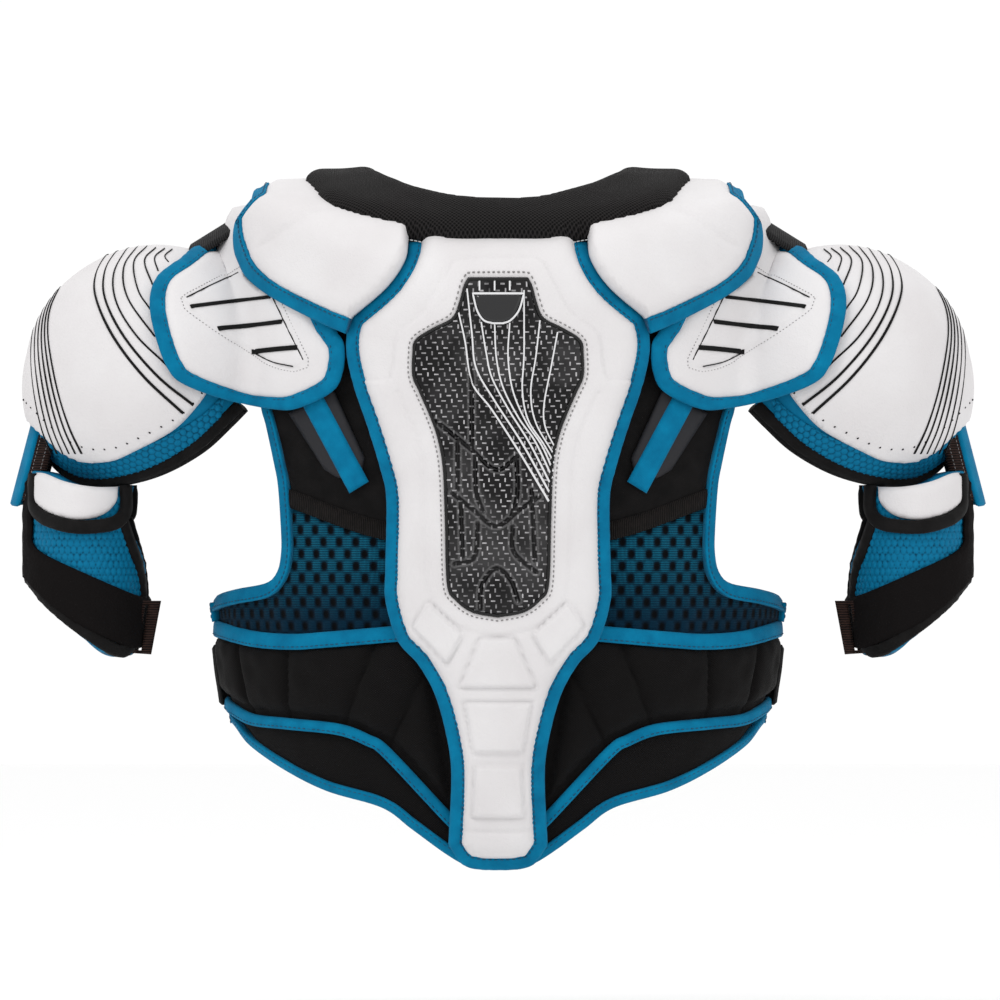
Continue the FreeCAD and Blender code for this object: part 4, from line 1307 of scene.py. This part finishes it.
def cap_print():
    """Lines and a row of dots, the same on the back and the front of the cap."""
    lines = []

    def add(path, widths):
        for side in (1, -1):
            lines.append(ribbon("line", DOME, path * [side, 1], widths, -0.3, 0.5, INK))

    for run, wide in zip(CAP_PRINT, (1.6, 1.5, 1.1, 1.0, 0.9, 0.9, 0.8, 0.7)):
        path = on_ball(run, 0, 1.5)
        add(path, np.interp(np.linspace(0, 1, len(path)), [0, 0.4, 1], [0.5, wide, 1.1 * wide]))
    run = np.array(SIDE_PRINT)
    for k in range(6):
        shift = k * np.interp(run[:, 1], [-128, -70, -26], [3.9, 2.6, 1.2])
        path = on_ball(run - np.column_stack([shift, 0 * shift]), 0, 1.5)
        if len(path) > 4:
            add(path, np.linspace(0.55, 1.35 - 0.12 * k, len(path)))
    keep_pair(join("cap_lines", lines), "cap_lines", "cap_{}", "white_cover")
    row = on_ball(np.array(CAP_FOOT[:-1]) + [3.5, 9.5], 0, 1.5)
    rows = [stitches("dots", DOME, row * [side, 1], 0.1, THREAD_BLACK, 8.0, 1.0, 0.8)
            for side in (1, -1)]
    keep_pair(join("dots", rows), "cap_dots", "cap_{}", "white_cover")


cap_print()


# ================================================================ cap links and adjusters

class Ramp:
    """A strap's way up over the top of the cap and wing; v runs towards the back."""

    def point(self, u, v, off=0):
        z = -3 + 0.62 * (u + 187) - 0.011 * np.maximum(v - 3, 0) ** 2
        return np.column_stack([u - 0.5 * off, -v, z + 0.85 * off])


def cap_link():
    """Strap from under the yoke over the top of the wing to the cap."""
    outline = ring([(-186, -13), (-187.5, 8), (-186, 31)], [(-158, 31), (-158, -13)], step=1.5)
    strap = panel("link", Ramp(), outline, lambda uv, d: 0.6 + 1.4 * rise(d, 1.3), -1.0, GREY_STRAP,
                  1.8)
    keep_pair(strap, "cap_link_strap", "back", "black_cloth", "cap_strap_{}")


class Side:
    """A strip down the outside of the cap; u runs round it towards the back."""

    def point(self, u, v, off=0):
        angle, radius = u / 30, 30 + off
        return np.column_stack([-252 + 0.26 * (v + 112) - radius * np.cos(angle),
                                -radius * np.sin(angle), v])


def hang(obj, stem, slot, *nodes):
    """Webbing from a cap to its arm guard, and its mirror image."""
    other = mirror(obj, stem + "_right")
    obj.name = stem + "_left"
    for piece, side in ((obj, "left"), (other, "right")):
        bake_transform(piece)
        if nodes:
            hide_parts(*[n.format(side) for n in nodes])


def adjuster():
    """Webbing with a blue keeper from under the outer edge of the cap."""
    outline = ring([(-31, -104), (-31, -156)], [(31, -156), (31, -104)], step=1.5)
    tab = panel("tab", Side(), outline, lambda uv, d: -0.6 + 1.4 * rise(d, 1.2), -2, WEBBING, 1.6)
    hang(tab, "cap_adjuster_webbing", "webbing", "cap_adjuster_{}")
    outline = ring([(-18, -104), (-17, -159)], [(14, -160), (18, -154), (18, -104)], step=1.5)
    keeper = panel("keeper", Side(), outline, lambda uv, d: 1.4 + 1.2 * rise(d, 1.3), 0.2, BLUE, 1.5)
    hang(keeper, "cap_adjuster_keeper", "blue_tape")
    rows = [stitches("thread", Side(), curve([(u, -110), (u, -155)], 2), 0.9, THREAD_GREY, 2.4, 1.5,
                     0.3) for u in (21, 28)]
    hang(join("thread", rows), "cap_adjuster_stitches", "webbing")


cap_link()
adjuster()


# ================================================================ biceps guards

GUARD_TOP = [(-221.5, -147), (-228, -148), (-244, -148), (-260, -145), (-273, -140), (-290, -137)]
PAD_EDGE = [(-221.5, -149), (-226, -170), (-218.4, -183.4), (-213.6, -196.5), (-211.8, -207.6),
            (-211.8, -217), (-214.5, -236), (-221.5, -249.5)]
PAD_LOW = [(-229.4, -250.5), (-240.6, -245.5), (-257.4, -234), (-274.4, -220), (-285.6, -207),
           (-290, -203)]
PLATE_LOW = [(-230, -148), (-231.2, -157), (-238, -164.5), (-248, -167.6), (-258, -167.6),
             (-268.8, -164.6), (-276, -160), (-278.5, -156)]
BAND_TOP = [(-213.5, -214), (-219, -214), (-248, -200.5), (-278, -185.5), (-281, -172), (-281.5, -152),
            (-284, -143), (-290, -141)]
BAND_LOW = [(-213.5, -244), (-221, -246), (-228, -243.5), (-253.8, -230.5), (-272, -216.5),
            (-284, -205.5), (-290, -201)]
TURN = -math.pi * ARM.radius


def on_arm(run, step=2.0):
    return ARM.flat(curve(run, step))


def to_front(path):
    """The same path round the front of the arm, run the other way."""
    return (path * [-1, 1] + [TURN, 0])[::-1]


def arm_ring(top, low, step=2.0):
    """Outline round the outside of the arm between a top and a low run, both from the inside out."""
    top, low = on_arm(top), on_arm(low)
    return even(np.vstack([top, to_front(top), to_front(low)[::-1], low[::-1]]), step)


def both_halves(name, make):
    """The back piece of the arm and its copy round the front."""
    return join(name, [make(lambda path: path), make(to_front)])


def guard():
    """Foam pad, hemmed plate over it and the strap round it."""
    pad = panel("pad", ARM, arm_ring(GUARD_TOP, [*PAD_EDGE, *PAD_LOW], 1.3),
                lambda uv, d: -1.4 + 1.3 * cell_height(uv) - 1.2 * (1 - rise(d, 4)), -8, FOAM, 1.2)
    set_cells(pad, cell_height)
    keep_pair(pad, "biceps_foam", "guard_{}", "blue_foam", "biceps_pad_{}", fill_=0.8)
    section = [(-3.8, -3), (-4.0, 0.2), (-3.0, 1.8), (0, 2.3), (3.0, 1.8), (4.0, 0.3), (3.8, -3)]
    path = on_arm([(-226.5, -168), (-222, -182), (-217.5, -196), (-215.6, -207.6), (-215.5, -217),
                   (-218.5, -236), (-223.5, -246), (-229.5, -246.8), (-238.5, -242.2),
                   (-255.4, -230.5), (-272, -217), (-282, -206), (-290, -199)], 1.8)
    path = resample(np.vstack([path, to_front(path)]), 1.8)
    tape = sweep("pad_hem", ARM, path, section, BLACK_TAPE, pucker=0.3)
    keep_pair(tape, "biceps_pad_tape", "guard_{}", "black_tape")

    top = GUARD_TOP[1:-1] + [(-278.5, -139.5)]
    outline = resample(np.vstack([on_arm(top), on_arm(PLATE_LOW)[::-1]]), 2.0)
    plate = both_halves("plate", lambda turn: panel(
        "plate", ARM, turn(outline), lambda uv, d: 1.2 + 2.6 * rise(d, 5)
        + 0.2 * wobble(uv[:, 0], uv[:, 1], 30, 3), 0.4, WHITE, 2.0))
    keep_pair(plate, "biceps_plate_cover", "guard_{}", "white_cover", "biceps_plate_{}", fill_=0.7)
    section = [(-4.1, 0.4), (-4.2, 3.0), (-3.0, 4.5), (0, 5.0), (3.0, 4.5), (4.2, 3.0), (4.1, 0.4)]
    hem = on_arm([(-226.3, -147), (-226.3, -162), (-231, -169), (-240, -171.6), (-253.8, -172.2),
                  (-266, -169.4), (-275, -165), (-279, -158), (-279, -140)], 1.8)
    tape = both_halves("plate_hem", lambda turn: sweep("hem", ARM, turn(hem), section, BLACK_TAPE,
                                                       pucker=0.3))
    keep_pair(tape, "biceps_plate_tape", "guard_{}", "black_tape", "biceps_binding_{}")
    strap = panel("strap", ARM, arm_ring(BAND_TOP, BAND_LOW), lambda uv, d: 1.8 + 1.4 * rise(d, 1.4)
                  + 0.3 * wobble(uv[:, 0], uv[:, 1], 16, 7), 0.5, VELOUR, 2.0)
    keep_pair(strap, "biceps_strap_velour", "guard_{}", "black_cloth", "biceps_strap_{}")


class Flat:
    """An upright plane facing the back."""

    def __init__(self, y):
        self.y = y

    def point(self, u, v, off=0):
        return np.column_stack([u, np.full(len(u), self.y - off), v])


def loops():
    """Webbing loop that the strap goes through."""
    outline = ring([(-222.5, -217), (-204, -217)], [(-210, -249.5), (-224.5, -248.5)], step=1.2)
    hole = ring([(-213.6, -219.5), (-211.9, -219.5)], [(-216, -247), (-217.7, -247)], step=1.2)
    loop = panel("loop", Flat(-24), outline, lambda uv, d: 3.0 + 1.2 * rise(d, 1.2), 0, WEBBING, 1.3,
                 holes=(hole,))
    keep_pair(loop, "webbing_loop_band", "loop_{}", "webbing", "webbing_loop_{}")


guard()
loops()


# ================================================================ front

class FrontRound(Round):
    """Coordinates are the way round the barrel from its front, and z."""

    def point(self, u, v, off=0):
        return super().point(u, v, off) * [1, -1, 1]


FROUND = FrontRound()
CHEST = [(-8, -40), (-60, -56), (-96, -66), (-118, -78), (-124, -100), (-119, -130), (-112, -160),
         (-98, -190), (-70, -205), (-40, -212), (-8, -214)]
STERNUM_HALF = [(-34, -28), (-44, -60), (-36, -110), (-26, -150), (0, -168)]
BELLY_LOW = [(-175, -283), (-150, -290), (-100, -296), (-50, -300), (0, -301)]
BELT_LINES = ([(-174, -244), (-140, -243), (-100, -246), (-62, -250)],
              [(-62, -279), (-100, -282), (-140, -282), (-174, -280)])


def chest():
    """Liner behind, and a slatted pad on each side."""
    armhole = offset(curve(ARMHOLE[:7], 3), 8)
    half = np.vstack([[(-137, -13)], armhole, [(-122, -205), (-124, -214.5)]])
    outline = even(mirrored(half, 0), 3)
    liner = panel("chest_liner_cloth", FRONT, outline,
                  lambda uv, d: -2.6 + 0.9 * wobble(uv[:, 0], uv[:, 1], 45, 2), -6, CLOTH, 3.5)
    keep(liner, "front", "black_cloth", "chest_liner", fill_=0.5)
    edge = resample(half[1:], 3)
    tape = sweep("chest_tape", FRONT, offset(edge, -2), tape_section(TAPE, -3.4, 2.4, -1.5), BLUE,
                 pucker=0.35)
    keep_pair(tape, "chest_liner_tape", "front", "blue_tape")

    body = ring(CHEST[:3], CHEST[2:], step=2.5)
    slats = [curve([(-14, z), (-60, z - 9), (-118, z - 4)], 3) for z in (-92, -126, -160)]

    def height(uv, d):
        gap = np.min([distance(uv, slat, closed=False) for slat in slats], axis=0)
        return 4 + 12.5 * rise(d - 5, 14, 2.2) + groove(gap, 2.6, 2.6) \
            + 0.3 * wobble(uv[:, 0], uv[:, 1], 50, 11)

    panel_ = panel("chest", FRONT, body, height, 0.3, WHITE, 2.2)
    keep_pair(panel_, "chest_cover", "front", "white_cover", "chest_panel_{}", fill_=0.85)
    rim = body if area2d(body) > 0 else body[::-1]
    tape = sweep("chest_rim", FRONT, rim, tape_section(TAPE, 4.0, 2.6, 7.2), BLUE, closed=True,
                 pucker=0.35)
    keep_pair(tape, "chest_tape", "front", "blue_tape")
    row = offset(rim, IN_TAPE, closed=True)
    keep_pair(stitches("chest_row", FRONT, shut(row), 7.6, THREAD_BLUE),
              "chest_stitches", "front", "blue_tape")


def sternum():
    """Moulded plate over the breastbone, with raised ribs."""
    outline = ring(STERNUM_HALF, flip(STERNUM_HALF), step=2)
    ribs = [curve([(-30 + k * 3, z), (0, z - 12), (30 - k * 3, z)], 2)
            for k, z in enumerate((-62, -86, -110, -134))]

    def height(uv, d):
        near = np.min([distance(uv, rib, closed=False) for rib in ribs], axis=0)
        return 18.6 + 2.6 * rise(d, 4) + 1.5 * np.exp(-(near / 3.2) ** 2) * rise(d - 4, 5)

    plate = panel("sternum_plate_cover", FRONT, outline, height, 16.5, WHITE, 1.8)
    keep(plate, "front", "white_cover", "sternum_plate")
    row = offset(outline, 4.0 if area2d(outline) > 0 else -4.0, closed=True)
    keep(stitches("sternum_stitches", FRONT, shut(row), 21.2, THREAD_GREY), "front",
         "white_cover")


def belly():
    """Quilted pad across the belly."""
    side = 150 * math.pi / 2 - 2
    low = FROUND.flat(curve(BELLY_LOW, 3))
    low[0, 0] = -side
    half = np.vstack([[(0, -216.5), (-side, -216.5)], low])
    outline = np.vstack([half[1:], (half[1:] * [-1, 1])[::-1]])
    outline = even(outline, 2.6)
    seams = [resample(np.array([(x, -212.0), (x * 0.94, -305.0)]), 2)
             for x in (-190, -140, -95, -50, 0, 50, 95, 140, 190)]

    def height(uv, d):
        s = np.min([distance(uv, seam, closed=False) for seam in seams], axis=0)
        return -6.5 + 5.6 * rise(d, 12) * (0.45 + 0.55 * (1 - np.exp(-s / 4.5))) + groove(s, 0.9, 0.8) \
            + 0.3 * wobble(uv[:, 0], uv[:, 1], 22, 13)

    pad = panel("belly_pad_cloth", FROUND, outline, height, -9, WRAP, 2.4)
    keep(pad, "front", "black_cloth", "belly_pad", fill_=0.8)
    tape = sweep("belly_low_tape", FROUND, mirrored(low), tape_section(TAPE, -4.2, 2.4, -2.2), BLUE,
                 pucker=0.35)
    keep(tape, "front", "blue_tape")


def belt():
    """Elastic strap from the back wrap, fastened on the belly pad with a blue-edged tab."""
    top, low = (FROUND.flat(curve(line, 2)) for line in BELT_LINES)
    outline = np.vstack([top, low])
    outline = even(outline, 2.2)
    strap = panel("belt", FROUND, outline, lambda uv, d: 1.5 + 1.6 * rise(d, 1.6)
                  + 0.2 * wobble(uv[:, 0], uv[:, 1], 25, 5), 0.4, GREY_STRAP, 2.2)
    keep_pair(strap, "belly_strap_elastic", "belt_{}", "black_cloth", "belly_strap_{}")
    tab = FROUND.flat(ring([(-92, -246.5), (-61, -250)], [(-59.5, -253), (-59.5, -276)],
                           [(-61, -279), (-92, -281.5)], step=1.6))
    tip = panel("tab", FROUND, tab, lambda uv, d: 3.0 + 1.0 * rise(d, 1.4), 1.2, BLUE, 1.8)
    keep_pair(tip, "belly_strap_tab", "belt_{}", "blue_tape")


chest()
sternum()
belly()
belt()


# ================================================================ floor, light and camera

def studio():
    """Plain floor, soft light, and a far camera at the photo's angle."""
    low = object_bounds()[0]
    mesh = bpy.data.meshes.new("floor")
    size, z = 6.0, low[2] - 0.10
    mesh.from_pydata([(-size, -size, z), (size, -size, z), (size, size, z), (-size, size, z)], [],
                     [(0, 1, 2, 3)])
    floor = bpy.data.objects.new("floor", mesh)
    bpy.context.scene.collection.objects.link(floor)
    mat, _, shader = blank_material("floor_paper", 0.9, specular=0.1)
    shader.inputs["Base Color"].default_value = (0.96, 0.96, 0.96, 1)
    floor.data.materials.append(mat)
    world = bpy.data.worlds.new("world")
    bpy.context.scene.world = world
    world.use_nodes = True
    sky = world.node_tree.nodes["Background"].inputs
    sky["Color"].default_value, sky["Strength"].default_value = (1, 1, 1, 1), 1.02
    for name, where, power, wide in (("key", (-0.9, -1.5, 1.9), 13, 0.7),
                                     ("fill", (1.3, -1.5, 0.6), 2.5, 1.4),
                                     ("top", (0, 0.2, 1.9), 4, 1.2)):
        lamp = bpy.data.lights.new(name, "AREA")
        lamp.energy, lamp.size = power, wide
        light = bpy.data.objects.new(name, lamp)
        bpy.context.scene.collection.objects.link(light)
        light.location = where
        way = Vector((0, 0, -0.16)) - Vector(where)
        light.rotation_euler = way.to_track_quat("-Z", "Y").to_euler()
    camera = bpy.data.cameras.new("camera")
    eye = bpy.data.objects.new("camera", camera)
    bpy.context.scene.collection.objects.link(eye)
    centre = Vector((0.0012, 0, -0.156))
    eye.location = centre + Vector((0, -6.0, 0))
    eye.rotation_euler = (math.pi / 2, 0, 0)
    camera.lens_unit, camera.sensor_width = "FOV", 36
    camera.angle = 2 * math.atan(0.300 / 5.92)
    bpy.context.scene.camera = eye
    bpy.context.scene.view_settings.view_transform = "Standard"


studio()
